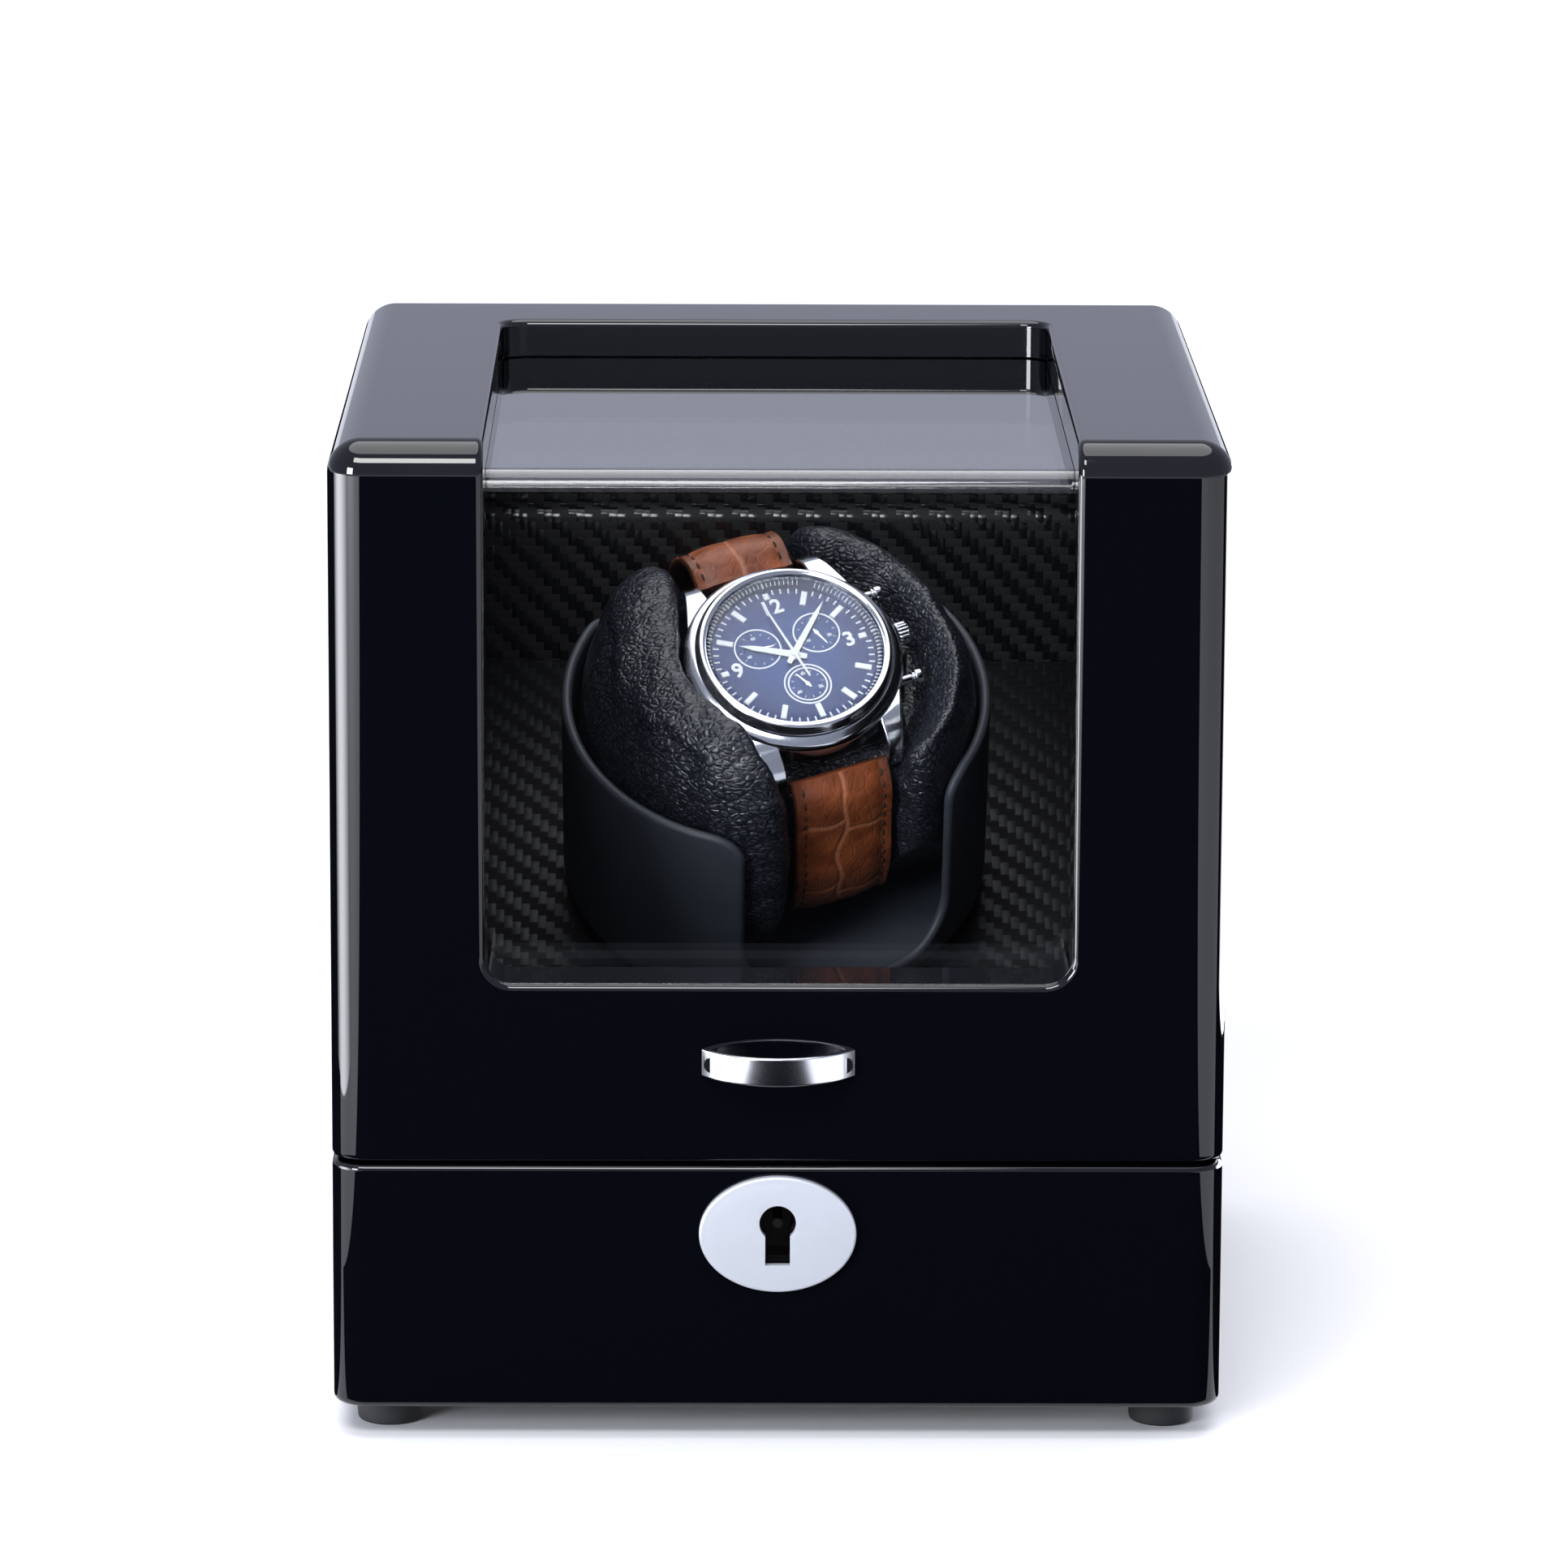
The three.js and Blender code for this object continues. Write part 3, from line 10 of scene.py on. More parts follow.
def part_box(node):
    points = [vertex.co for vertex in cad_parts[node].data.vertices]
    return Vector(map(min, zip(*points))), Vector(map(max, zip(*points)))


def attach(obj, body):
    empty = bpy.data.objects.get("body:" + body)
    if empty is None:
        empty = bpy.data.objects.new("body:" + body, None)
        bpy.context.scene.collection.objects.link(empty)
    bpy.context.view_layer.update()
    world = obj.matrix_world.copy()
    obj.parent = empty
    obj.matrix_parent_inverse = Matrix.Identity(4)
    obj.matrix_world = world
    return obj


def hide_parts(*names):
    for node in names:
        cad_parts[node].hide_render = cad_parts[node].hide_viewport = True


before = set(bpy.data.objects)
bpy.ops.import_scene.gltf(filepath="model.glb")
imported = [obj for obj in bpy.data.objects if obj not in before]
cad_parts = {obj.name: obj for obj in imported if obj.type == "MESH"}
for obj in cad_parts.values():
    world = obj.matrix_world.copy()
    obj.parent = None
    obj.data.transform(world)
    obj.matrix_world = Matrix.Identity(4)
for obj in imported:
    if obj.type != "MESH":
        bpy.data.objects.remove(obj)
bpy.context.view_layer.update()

SCENE = bpy.context.scene

# ---------- sizes, in millimetres ----------
MM = 0.001
OVERCUT = 1  # how far a cutter runs past the face that it opens
CORNERS = ("front_left", "front_right", "rear_left", "rear_right")

CORNER_R = 6.3
SEAM_R = 1.2
BOTTOM_R = 1.5
WINDOW_HALF_W = 54
WINDOW_SILL = 87
WINDOW_BACK = 60
WINDOW_CORNER_R = 5
WINDOW_EDGE_R = 1.4
WALL = 12
FRONT_WALL = 14
TOP_RAIL = 7.2
PANE_T = 3
PANE_BEND_R = 4
GAP = 0.3

HINGE_X = 45
HINGE_HALF_L = 18
LEAF_T = 1.2
LEAF_FRONT = 76.2
KNUCKLE_FRONT = 85.4
KNUCKLE_ROOM = 1.3
KNUCKLE_LOW = 50.4
KNUCKLE_HIGH = 55.4

HANDLE_Z = 72.25
STUD_X = 12.2
BOLT_Y = -79
KEYHOLE_Z = 42

CUP_LEAN = math.radians(33)
CUP_TURN = math.radians(22.5)
RIM_CENTRE = (0, -10, 126)
CUP_R = 41.3
CUP_WALL = 2
CUP_DEPTH = 45.5
CUP_FLOOR_T = 2.5
CUTOUT_HALF_W = 21.3
CUTOUT_DEPTH = 40.5
CUTOUT_LOWER_R = 10
CUTOUT_UPPER_R = 6

WATCH_TILT = math.radians(12)
WATCH_CENTRE = (1.7, -4.5, 13.5)
CASE_R = 21.2
CASE_BOTTOM = -8.5
GLASS_R = 17
LUG_REACH = 24.6
LUG_INNER = 10.4
LUG_T = 2.8
LUG_FLARE = 0.17
PUSHER_OFFSET = 10.2
CONTROLS_Z = -3.2

STRAP_W = 20
STRAP_UNDER = 1.0
STRAP_CROWN = 1.3
UPPER_ROUTE = [
    (19.6, 12.4), (25, 14.2), (30.3, 11.2), (34.6, 4), (36.2, -7), (35.5, -20),
    (30, -31), (18, -36.2), (5, -37.2),
]
LOWER_ROUTE = [
    (-26.6, 3), (-29.3, -2.5), (-29.3, -12), (-29.3, -22), (-26, -31.5), (-17, -36.4), (-2, -37.2),
]
STITCH_LINE = 0.79  # the padding ends here, as a share of the strap's half width
SCALE_L = 17.5  # length of an embossed scale
CREASE_W = 0.38

CUSHION_R = 38.6
CUSHION_TOP = 20.8
CUSHION_BOTTOM = -42.3
GROOVE_HALF_W = 10.9
GROOVE_TOP = 3.8
BUTTON_REACH = 24.2  # from the watch's middle to the end of its crown
BUTTON_CLEAR_Z = -6.2  # the cushion stays below this under the crown and the pushers
RIGHT_LOBE_TIP = -9
RIGHT_LOBE_SWEEP = -1.5

SUBDIALS = ((60, 1, 160), (180, 2, 335), (300, 1, 95))  # place from 12 o'clock, rings, and its hand's angle
SUBDIAL_R = 4.6
SUBDIAL_AT = 7.0

# ---------- frames: each takes millimetres to metres in the row frame ----------
BASE_LOW, BASE_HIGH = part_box("base_shell")
LID_LOW, LID_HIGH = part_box("lid_shell")
BOX_MID_Y = (BASE_LOW.y + BASE_HIGH.y) / 2
HALF_W = BASE_HIGH.x / MM
HALF_D = (BASE_HIGH.y - BOX_MID_Y) / MM
BOX_FRONT = -HALF_D
LID_TOP = LID_HIGH.z / MM

IN_BOX = Matrix.Translation((0, BOX_MID_Y, 0)) @ Matrix.Scale(MM, 4)
IN_CUP = IN_BOX @ Matrix.Translation(RIM_CENTRE) @ Matrix.Rotation(CUP_LEAN, 4, "X")
IN_ROTOR = IN_CUP @ Matrix.Rotation(CUP_TURN, 4, "Z")
IN_WATCH = IN_ROTOR @ Matrix.Translation(WATCH_CENTRE) @ Matrix.Rotation(WATCH_TILT, 4, "X")
WATCH_FROM_ROTOR = (Matrix.Translation(WATCH_CENTRE) @ Matrix.Rotation(WATCH_TILT, 4, "X")).inverted()
ROTOR_FROM_WATCH = WATCH_FROM_ROTOR.inverted()


def corners_mm(node):
    """A CAD node's lowest and highest corners in millimetres."""
    return [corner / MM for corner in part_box(node)]


def from_middle(y):
    """A depth in millimetres, measured from the middle of the box."""
    return y - BOX_MID_Y / MM


# ---------- material helpers ----------
class Look:
    """A node material with one Principled shader, and short calls for the nodes that feed it.

    The scales of noise and cells count features per metre.
    """

    def __init__(self, name, color, roughness, **values):
        self.material = bpy.data.materials.new(name)
        self.material.use_nodes = True
        self.tree = self.material.node_tree
        self.shader = self.tree.nodes["Principled BSDF"]
        self.set(**{"Base Color": (*color, 1), "Roughness": roughness}, **values)
        self.place = self.add("ShaderNodeTexCoord").outputs["Object"]

    def set(self, **values):
        for socket, value in values.items():
            self.shader.inputs[socket.replace("_", " ")].default_value = value

    def add(self, kind, **inputs):
        made = self.tree.nodes.new(kind)
        for socket, value in inputs.items():
            self.feed(made.inputs[socket.replace("_", " ")], value)
        return made

    def feed(self, socket, value):
        if isinstance(value, bpy.types.NodeSocket):
            self.tree.links.new(value, socket)
        else:
            socket.default_value = value

    def to_shader(self, socket, value):
        self.feed(self.shader.inputs[socket], value)

    def math(self, operation, first, second=0.0):
        made = self.tree.nodes.new("ShaderNodeMath")
        made.operation = operation
        self.feed(made.inputs[0], first)
        self.feed(made.inputs[1], second)
        return made.outputs[0]

    def noise(self, scale, detail, place=None):
        made = self.add("ShaderNodeTexNoise", Vector=place or self.place, Scale=scale, Detail=detail)
        return made.outputs["Fac"]

    def cells(self, scale, place=None, feature="DISTANCE_TO_EDGE", randomness=1.0):
        made = self.tree.nodes.new("ShaderNodeTexVoronoi")
        made.feature = feature
        self.feed(made.inputs["Vector"], place or self.place)
        made.inputs["Scale"].default_value = scale
        made.inputs["Randomness"].default_value = randomness
        return made.outputs["Distance"]

    def stretched(self, scale=(1, 1, 1), rotation=(0, 0, 0), place=None):
        made = self.add("ShaderNodeMapping", Vector=place or self.place)
        made.inputs["Scale"].default_value = scale
        made.inputs["Rotation"].default_value = rotation
        return made.outputs["Vector"]

    def split(self, vector):
        made = self.add("ShaderNodeSeparateXYZ", Vector=vector)
        return made.outputs

    def between(self, factor, low, high):
        """Maps a factor of 0 to 1 onto the span from low to high."""
        made = self.tree.nodes.new("ShaderNodeMapRange")
        self.feed(made.inputs["Value"], factor)
        made.inputs["To Min"].default_value = low
        made.inputs["To Max"].default_value = high
        return made.outputs["Result"]

    def step_between(self, factor, start, end):
        """0 below start, 1 above end, and a smooth step between them."""
        made = self.tree.nodes.new("ShaderNodeMapRange")
        made.interpolation_type = "SMOOTHSTEP"
        self.feed(made.inputs["Value"], factor)
        made.inputs["From Min"].default_value = start
        made.inputs["From Max"].default_value = end
        return made.outputs["Result"]

    def mix(self, factor, first, second):
        made = self.tree.nodes.new("ShaderNodeMix")
        made.data_type = "RGBA"
        self.feed(made.inputs["Factor"], factor)
        colours = [s for s in made.inputs if s.type == "RGBA"]
        for socket, value in zip(colours, (first, second)):
            self.feed(socket, value if isinstance(value, bpy.types.NodeSocket) else (*value, 1))
        return [s for s in made.outputs if s.type == "RGBA"][0]

    def attribute(self, name):
        made = self.tree.nodes.new("ShaderNodeAttribute")
        made.attribute_name = name
        return made.outputs["Fac"]

    def bump(self, height, depth_mm, strength=1.0):
        made = self.add("ShaderNodeBump", Height=height, Strength=strength, Distance=depth_mm * MM)
        self.to_shader("Normal", made.outputs["Normal"])


def grazing_gloss(name, head_on, tint):
    """A clear sheet: see-through, mirroring more and more as it is met at a flatter angle."""
    steepness = 2.3
    gain_at_edge = 0.96
    material = bpy.data.materials.new(name)
    material.use_nodes = True
    tree = material.node_tree
    tree.nodes.clear()
    facing = tree.nodes.new("ShaderNodeLayerWeight")
    facing.inputs["Blend"].default_value = 0.5
    steep = tree.nodes.new("ShaderNodeMath")
    steep.operation = "POWER"
    steep.inputs[1].default_value = steepness
    share = tree.nodes.new("ShaderNodeMath")
    share.operation = "MULTIPLY_ADD"
    share.inputs[1].default_value = gain_at_edge
    share.inputs[2].default_value = head_on
    clear = tree.nodes.new("ShaderNodeBsdfTransparent")
    clear.inputs["Color"].default_value = (*tint, 1)
    mirror = tree.nodes.new("ShaderNodeBsdfGlossy")
    mirror.inputs["Roughness"].default_value = 0.0
    blend = tree.nodes.new("ShaderNodeMixShader")
    output = tree.nodes.new("ShaderNodeOutputMaterial")
    links = tree.links
    links.new(facing.outputs["Facing"], steep.inputs[0])
    links.new(steep.outputs[0], share.inputs[0])
    links.new(share.outputs[0], blend.inputs["Fac"])
    links.new(clear.outputs[0], blend.inputs[1])
    links.new(mirror.outputs[0], blend.inputs[2])
    links.new(blend.outputs[0], output.inputs["Surface"])
    return material


# ---------- materials ----------
def lacquer():
    """Deep piano-black lacquer with a trace of polishing texture."""
    look = Look("piano_lacquer", (0.0012, 0.0014, 0.0026), 0.02, IOR=1.5)
    wipe = look.noise(14, 3)
    look.to_shader("Roughness", look.between(wipe, 0.01, 0.035))
    look.bump(look.noise(55, 1), 0.01, 0.2)
    return look.material


def carbon_leatherette(name, vector_of, ior, weft_roughness):
    """Black 2x2 twill: each tow passes over two and under two, stepping by one."""
    tow = 1.65 * MM
    over = 2.0
    repeat = 2 * over
    look = Look(name, (0.01, 0.011, 0.013), 0.5, IOR=ior)
    across = look.split(vector_of(look))
    u = look.math("DIVIDE", across["X"], tow)
    v = look.math("DIVIDE", across["Y"], tow)
    cell_u = look.math("FLOOR", u)
    cell_v = look.math("FLOOR", v)
    part_u = look.math("SUBTRACT", u, cell_u)
    part_v = look.math("SUBTRACT", v, cell_v)
    phase = look.math("FLOORED_MODULO", look.math("ADD", cell_u, cell_v), repeat)
    warp_up = look.math("LESS_THAN", phase, over - 0.5)
    weft_phase = look.math("SUBTRACT", phase, over)

    def hump(position):
        centred = look.math("SUBTRACT", look.math("MULTIPLY", position, 2.0), 1.0)
        return look.math("SUBTRACT", 1.0, look.math("MULTIPLY", centred, centred))

    def tow_height(across_tow, step, along_cell):
        round_section = look.math("MULTIPLY", hump(across_tow), 0.6)
        length = hump(look.math("MULTIPLY", look.math("ADD", step, along_cell), 1 / over))
        return look.math("ADD", round_section, look.math("MULTIPLY", length, 0.4))

    warp = tow_height(part_u, phase, part_v)
    weft = tow_height(part_v, weft_phase, part_u)
    picked = look.tree.nodes.new("ShaderNodeMix")
    look.feed(picked.inputs["Factor"], warp_up)
    look.feed(picked.inputs["A"], weft)
    look.feed(picked.inputs["B"], warp)
    height = picked.outputs["Result"]
    fibres = look.noise(900, 2)
    # Painted reflection: weft tows get a lighter colour than warp tows, standing in for the sheen that the
    # fibres throw at one angle and not the other.
    shade = look.mix(warp_up, (0.0007, 0.0009, 0.0014), (0.0032, 0.004, 0.0055))
    look.to_shader("Base Color", look.mix(look.between(fibres, 0, 0.4), shade, (0.0014, 0.0017, 0.0024)))
    look.to_shader("Roughness", look.between(warp_up, 0.75, weft_roughness))
    look.bump(height, 0.1, 0.7)
    return look.material


def board_weave(look):
    """Weave coordinates laid along a wrapped board: width, then length round its outline."""
    made = look.tree.nodes.new("ShaderNodeUVMap")
    made.uv_map = "weave"
    return made.outputs["UV"]


def deck_weave(look):
    return look.stretched(rotation=(-CUP_LEAN, 0, 0))


def cheek_weave(look):
    return look.stretched(rotation=(0, math.pi / 2, 0))


def grain_leather():
    """Soft pebbled black leatherette with fine wrinkles."""
    look = Look("pebbled_leatherette", (0.011, 0.012, 0.016), 0.34, IOR=1.5)
    bent = look.tree.nodes.new("ShaderNodeVectorMath")
    warp_noise = look.add("ShaderNodeTexNoise", Vector=look.place, Scale=260.0, Detail=2.0)
    look.tree.links.new(look.place, bent.inputs[0])
    scaled = look.tree.nodes.new("ShaderNodeVectorMath")
    scaled.operation = "SCALE"
    look.tree.links.new(warp_noise.outputs["Color"], scaled.inputs[0])
    scaled.inputs["Scale"].default_value = 1.1 * MM
    look.tree.links.new(scaled.outputs[0], bent.inputs[1])
    grain_place = look.stretched(scale=(0.8, 1.25, 1.25), place=bent.outputs[0])
    pebbles = look.step_between(look.cells(780, grain_place), 0.0, 0.32)
    creases = look.step_between(look.cells(250, grain_place), 0.0, 0.1)
    fine = look.noise(2600, 2)
    height = look.math("ADD", look.math("MULTIPLY", pebbles, 0.6), look.math("MULTIPLY", creases, 0.5))
    height = look.math("ADD", height, look.math("MULTIPLY", fine, 0.12))
    # Painted highlight and shade: the pebble tops get a lighter colour and the cracks between them a darker
    # one.
    look.to_shader("Base Color", look.mix(pebbles, (0.006, 0.007, 0.01), (0.02, 0.023, 0.033)))
    look.to_shader("Roughness", look.between(look.noise(90, 2), 0.24, 0.36))
    look.bump(height, 0.22, 1.0)
    return look.material


def brown_leather():
    """Embossed tan leather: pale creases, mottled dye, and painted shade darkening the edges."""
    look = Look("brown_leather", (0.24, 0.068, 0.022), 0.42, IOR=1.45)
    mottle = look.noise(220, 4)
    pull = look.noise(90, 3, look.stretched(scale=(1, 1, 0.4)))
    dye_and_edge_shade = look.mix(look.step_between(mottle, 0.3, 0.7), (0.17, 0.040, 0.012), (0.30, 0.078, 0.024))
    dye_and_edge_shade = look.mix(look.step_between(pull, 0.45, 0.75), dye_and_edge_shade, (0.12, 0.027, 0.010))
    # Painted shade: the strap's sides and the rim beyond its stitching are darkened as if turned from the
    # light.
    dye_and_edge_shade = look.mix(look.attribute("edge"), dye_and_edge_shade, (0.06, 0.018, 0.009))
    dye_and_edge_shade = look.mix(look.attribute("crease"), dye_and_edge_shade, (0.42, 0.16, 0.08))
    look.to_shader("Base Color", dye_and_edge_shade)
    look.to_shader("Roughness", look.between(mottle, 0.34, 0.52))
    wrinkles = look.step_between(look.cells(520, look.stretched(scale=(1, 1, 0.5))), 0.0, 0.16)
    pores = look.noise(2400, 2)
    height = look.math("ADD", look.math("MULTIPLY", wrinkles, 0.5), look.math("MULTIPLY", pores, 0.4))
    look.bump(height, 0.1, 0.8)
    return look.material


def soft_touch():
    """Rubbery matt coating on moulded plastic."""
    look = Look("soft_touch_plastic", (0.03, 0.035, 0.045), 0.5, IOR=1.42)
    look.to_shader("Roughness", look.between(look.noise(60, 3), 0.44, 0.56))
    look.bump(look.noise(3200, 2), 0.015, 0.5)
    return look.material


def metal(name, color, roughness, grain_scale=(1, 1, 1), grain=0.0, spread=0.02, metallic=1.0):
    look = Look(name, color, roughness, Metallic=metallic)
    smears = look.noise(120, 3, look.stretched(scale=grain_scale))
    look.to_shader("Roughness", look.between(smears, max(roughness - spread, 0.0), roughness + spread))
    if grain:
        look.bump(look.noise(1500, 2, look.stretched(scale=grain_scale)), grain, 0.4)
    return look.material


def plastic(name, color, roughness, grain_mm=0.02, grain_scale=1500):
    look = Look(name, color, roughness, IOR=1.45)
    look.to_shader("Roughness", look.between(look.noise(80, 3), roughness - 0.05, roughness + 0.05))
    darker = tuple(c * 0.8 for c in color)
    look.to_shader("Base Color", look.mix(look.noise(300, 2), darker, color))
    look.bump(look.noise(grain_scale, 2), grain_mm, 0.6)
    return look.material


def fibre_board():
    look = Look("fibre_board", (0.09, 0.065, 0.045), 0.8)
    flakes = look.noise(700, 5, look.stretched(scale=(1, 0.4, 1)))
    look.to_shader("Base Color", look.mix(flakes, (0.05, 0.036, 0.026), (0.15, 0.11, 0.08)))
    look.bump(flakes, 0.15, 0.7)
    return look.material


def circuit_board():
    """Green solder mask with a faint pattern of tracks under it."""
    look = Look("circuit_board", (0.01, 0.09, 0.035), 0.35)
    tracks = look.step_between(look.cells(330, feature="F1", randomness=0.4), 0.42, 0.5)
    look.to_shader("Base Color", look.mix(tracks, (0.008, 0.07, 0.028), (0.02, 0.14, 0.06)))
    look.bump(tracks, 0.04, 0.6)
    return look.material


def dial_blue():
    """Sunray blue: fine brushing that fans out from the middle, darker towards the rim."""
    look = Look("sunray_dial", (0.02, 0.04, 0.14), 0.32, Metallic=0.45)
    spot = look.tree.nodes.new("ShaderNodeUVMap")
    spot.uv_map = "dial"
    axes = look.split(spot.outputs["UV"])
    angle = look.math("ARCTAN2", axes["Y"], axes["X"])
    squares = [look.math("MULTIPLY", axes[axis], axes[axis]) for axis in ("X", "Y")]
    radius = look.math("SQRT", look.math("ADD", *squares))
    fan = look.math("MULTIPLY", angle, 12.0)
    along_ray = look.math("MULTIPLY", radius, 0.02)
    rays = look.add("ShaderNodeCombineXYZ", X=fan, Y=along_ray)
    brushing = look.noise(3, 1, rays.outputs[0])
    tone = look.mix(look.step_between(radius, 4.0, GLASS_R), (0.018, 0.046, 0.17), (0.005, 0.015, 0.085))
    look.to_shader("Base Color", look.mix(look.between(brushing, 0, 0.35), tone, (0.035, 0.07, 0.2)))
    look.to_shader("Roughness", look.between(brushing, 0.25, 0.45))
    return look.material


def dial_white():
    look = Look("dial_markers", (0.82, 0.84, 0.86), 0.35)
    look.to_shader("Roughness", look.between(look.noise(900, 2), 0.28, 0.42))
    look.bump(look.noise(2500, 1), 0.01, 0.4)
    return look.material


LACQUER = lacquer()
BOARD_CARBON = carbon_leatherette("carbon_twill_board", board_weave, 1.6, 0.2)
DECK_CARBON = carbon_leatherette("carbon_twill_deck", deck_weave, 1.28, 0.38)
CHEEK_CARBON = carbon_leatherette("carbon_twill_cheek", cheek_weave, 1.28, 0.38)
ACRYLIC = grazing_gloss("clear_acrylic", 0.05, (0.985, 0.99, 0.99))
CRYSTAL = grazing_gloss("watch_glass", 0.01, (0.985, 0.99, 1.0))
CUSHION_LEATHER = grain_leather()
STRAP_LEATHER = brown_leather()
SOFT_TOUCH = soft_touch()
CHROME = metal("polished_chrome", (0.78, 0.8, 0.85), 0.13)
WATCH_STEEL = metal("polished_steel", (0.56, 0.58, 0.63), 0.14, spread=0.04)
SATIN_CHROME = metal("satin_chrome", (0.5, 0.52, 0.57), 0.34, grain=0.006, spread=0.03, metallic=0.35)
DARK_STEEL = metal("blackened_steel", (0.05, 0.045, 0.042), 0.35, (1, 8, 1), 0.02, 0.08)
STEEL = metal("plain_steel", (0.48, 0.49, 0.5), 0.32, (1, 8, 1), 0.02, 0.08)
BRASS = metal("brass", (0.72, 0.52, 0.22), 0.25, (6, 1, 1), 0.02, 0.07)
BRONZE = metal("sintered_bronze", (0.42, 0.28, 0.13), 0.5, (1, 1, 1), 0.05, 0.1)
RUBBER = plastic("black_rubber", (0.012, 0.012, 0.013), 0.75, 0.05, 900)
BLACK_PLASTIC = plastic("black_plastic", (0.014, 0.0145, 0.016), 0.4)
WHITE_PLASTIC = plastic("white_plastic", (0.72, 0.72, 0.68), 0.45)
CABLE = plastic("cable_black", (0.02, 0.02, 0.022), 0.5, 0.03)
THREAD = plastic("strap_thread", (0.035, 0.018, 0.012), 0.7, 0.05, 3000)
FIBRE_BOARD = fibre_board()
CIRCUIT = circuit_board()
DIAL_BLUE = dial_blue()
DIAL_WHITE = dial_white()


# ---------- mesh helpers ----------
def rounded_ring(half_w, half_d, radius, steps):
    """Points of a rectangle with round corners, anticlockwise, in XY."""
    points = []
    for quarter, (sx, sy) in enumerate([(1, 1), (-1, 1), (-1, -1), (1, -1)]):
        centre_x = sx * (half_w - radius)
        centre_y = sy * (half_d - radius)
        for i in range(steps + 1):
            angle = (quarter + i / steps) * math.pi / 2
            points.append((centre_x + radius * math.cos(angle), centre_y + radius * math.sin(angle)))
    return points


def skin(rows, wrap=False):
    """Vertices and faces over rows of points, each a closed ring. The ends are capped unless rows wrap."""
    rows = np.asarray(rows, float)
    count, around = rows.shape[:2]
    faces = []
    for i in range(count if wrap else count - 1):
        near = i * around
        far = (i + 1) % count * around
        for j in range(around):
            k = (j + 1) % around
            faces.append((near + j, near + k, far + k, far + j))
    if not wrap:
        faces.append(tuple(reversed(range(around))))
        faces.append(tuple(range((count - 1) * around, count * around)))
    return rows.reshape(-1, 3), faces


def turned(profile, sides=96, wrap=False):
    """A solid of revolution about Z from [radius, z] points."""
    angles = np.linspace(0, 2 * math.pi, sides, endpoint=False)
    rows = [[(r * math.cos(a), r * math.sin(a), z) for a in angles] for r, z in profile]
    return skin(rows, wrap)


def arc(cx, cy, radius, start, end, steps):
    """Points of an arc in a plane, angles in degrees."""
    angles = np.radians(np.linspace(start, end, steps + 1))
    return [(cx + radius * math.cos(a), cy + radius * math.sin(a)) for a in angles]


def circle(radius, sides=24):
    """Points of a whole circle about the origin."""
    return arc(0, 0, radius, 0, 360 - 360 / sides, sides - 1)


def prism(outline, low, high, axis):
    """A closed outline carried along an axis: XY along Z, XZ along Y, or YZ along X."""
    def lift(point, depth):
        if axis == "Z":
            return (point[0], point[1], depth)
        if axis == "Y":
            return (point[0], depth, point[1])
        return (depth, point[0], point[1])
    return skin([[lift(p, low) for p in outline], [lift(p, high) for p in outline]])


def block(low, high):
    outline = [(low[0], low[1]), (high[0], low[1]), (high[0], high[1]), (low[0], high[1])]
    return prism(outline, low[2], high[2], "Z")


def moved(part, matrix):
    verts, faces = part
    return np.array([matrix @ Vector(v) for v in verts]), faces


def smooth_curve(points, count):
    """Evenly spaced points on a Catmull-Rom curve, their directions, and their distances along it."""
    steps_per_knot = 24
    knots = np.array([points[0], *points, points[-1]], float)
    knots[0] = 2 * knots[1] - knots[2]
    knots[-1] = 2 * knots[-2] - knots[-3]
    dense = []
    for p0, p1, p2, p3 in zip(knots, knots[1:], knots[2:], knots[3:]):
        for t in np.linspace(0, 1, steps_per_knot, endpoint=False):
            dense.append(0.5 * (2 * p1 + (p2 - p0) * t + (2 * p0 - 5 * p1 + 4 * p2 - p3) * t**2
                                + (3 * p1 - p0 - 3 * p2 + p3) * t**3))
    dense.append(knots[-2])
    dense = np.array(dense)
    lengths = np.concatenate([[0], np.cumsum(np.linalg.norm(np.diff(dense, axis=0), axis=1))])
    wanted = np.linspace(0, lengths[-1], count)
    spots = np.stack([np.interp(wanted, lengths, dense[:, k]) for k in range(2)], axis=1)
    ways = np.gradient(spots, axis=0)
    return spots, ways / np.linalg.norm(ways, axis=1)[:, None], wanted


def make_object(name, parts, place=None):
    """One mesh object from vertex and face lists."""
    mesh = bpy.data.meshes.new(name)
    verts = []
    faces = []
    for part_verts, part_faces in parts:
        start = len(verts)
        verts.extend(tuple(v) for v in part_verts)
        faces.extend(tuple(start + i for i in face) for face in part_faces)
    mesh.from_pydata(verts, [], faces)
    bm = bmesh.new()
    bm.from_mesh(mesh)
    bmesh.ops.recalc_face_normals(bm, faces=bm.faces)
    bm.to_mesh(mesh)
    bm.free()
    if place is not None:
        mesh.transform(place)
    made = bpy.data.objects.new(name, mesh)
    SCENE.collection.objects.link(made)
    return made


def applied(target):
    """Replaces the object's mesh by what its modifiers make of it."""
    bpy.context.view_layer.update()
    result = bpy.data.meshes.new_from_object(target.evaluated_get(bpy.context.evaluated_depsgraph_get()))
    target.modifiers.clear()
    target.data = result


def booled(target, parts, operation="DIFFERENCE"):
    """Cuts parts from an object, or joins them to it, one after another."""
    for part in parts:
        tool = make_object("tool", [part])
        change = target.modifiers.new("change", "BOOLEAN")
        change.operation = operation
        change.solver = "EXACT"
        change.object = tool
        applied(target)
        bpy.data.objects.remove(tool)


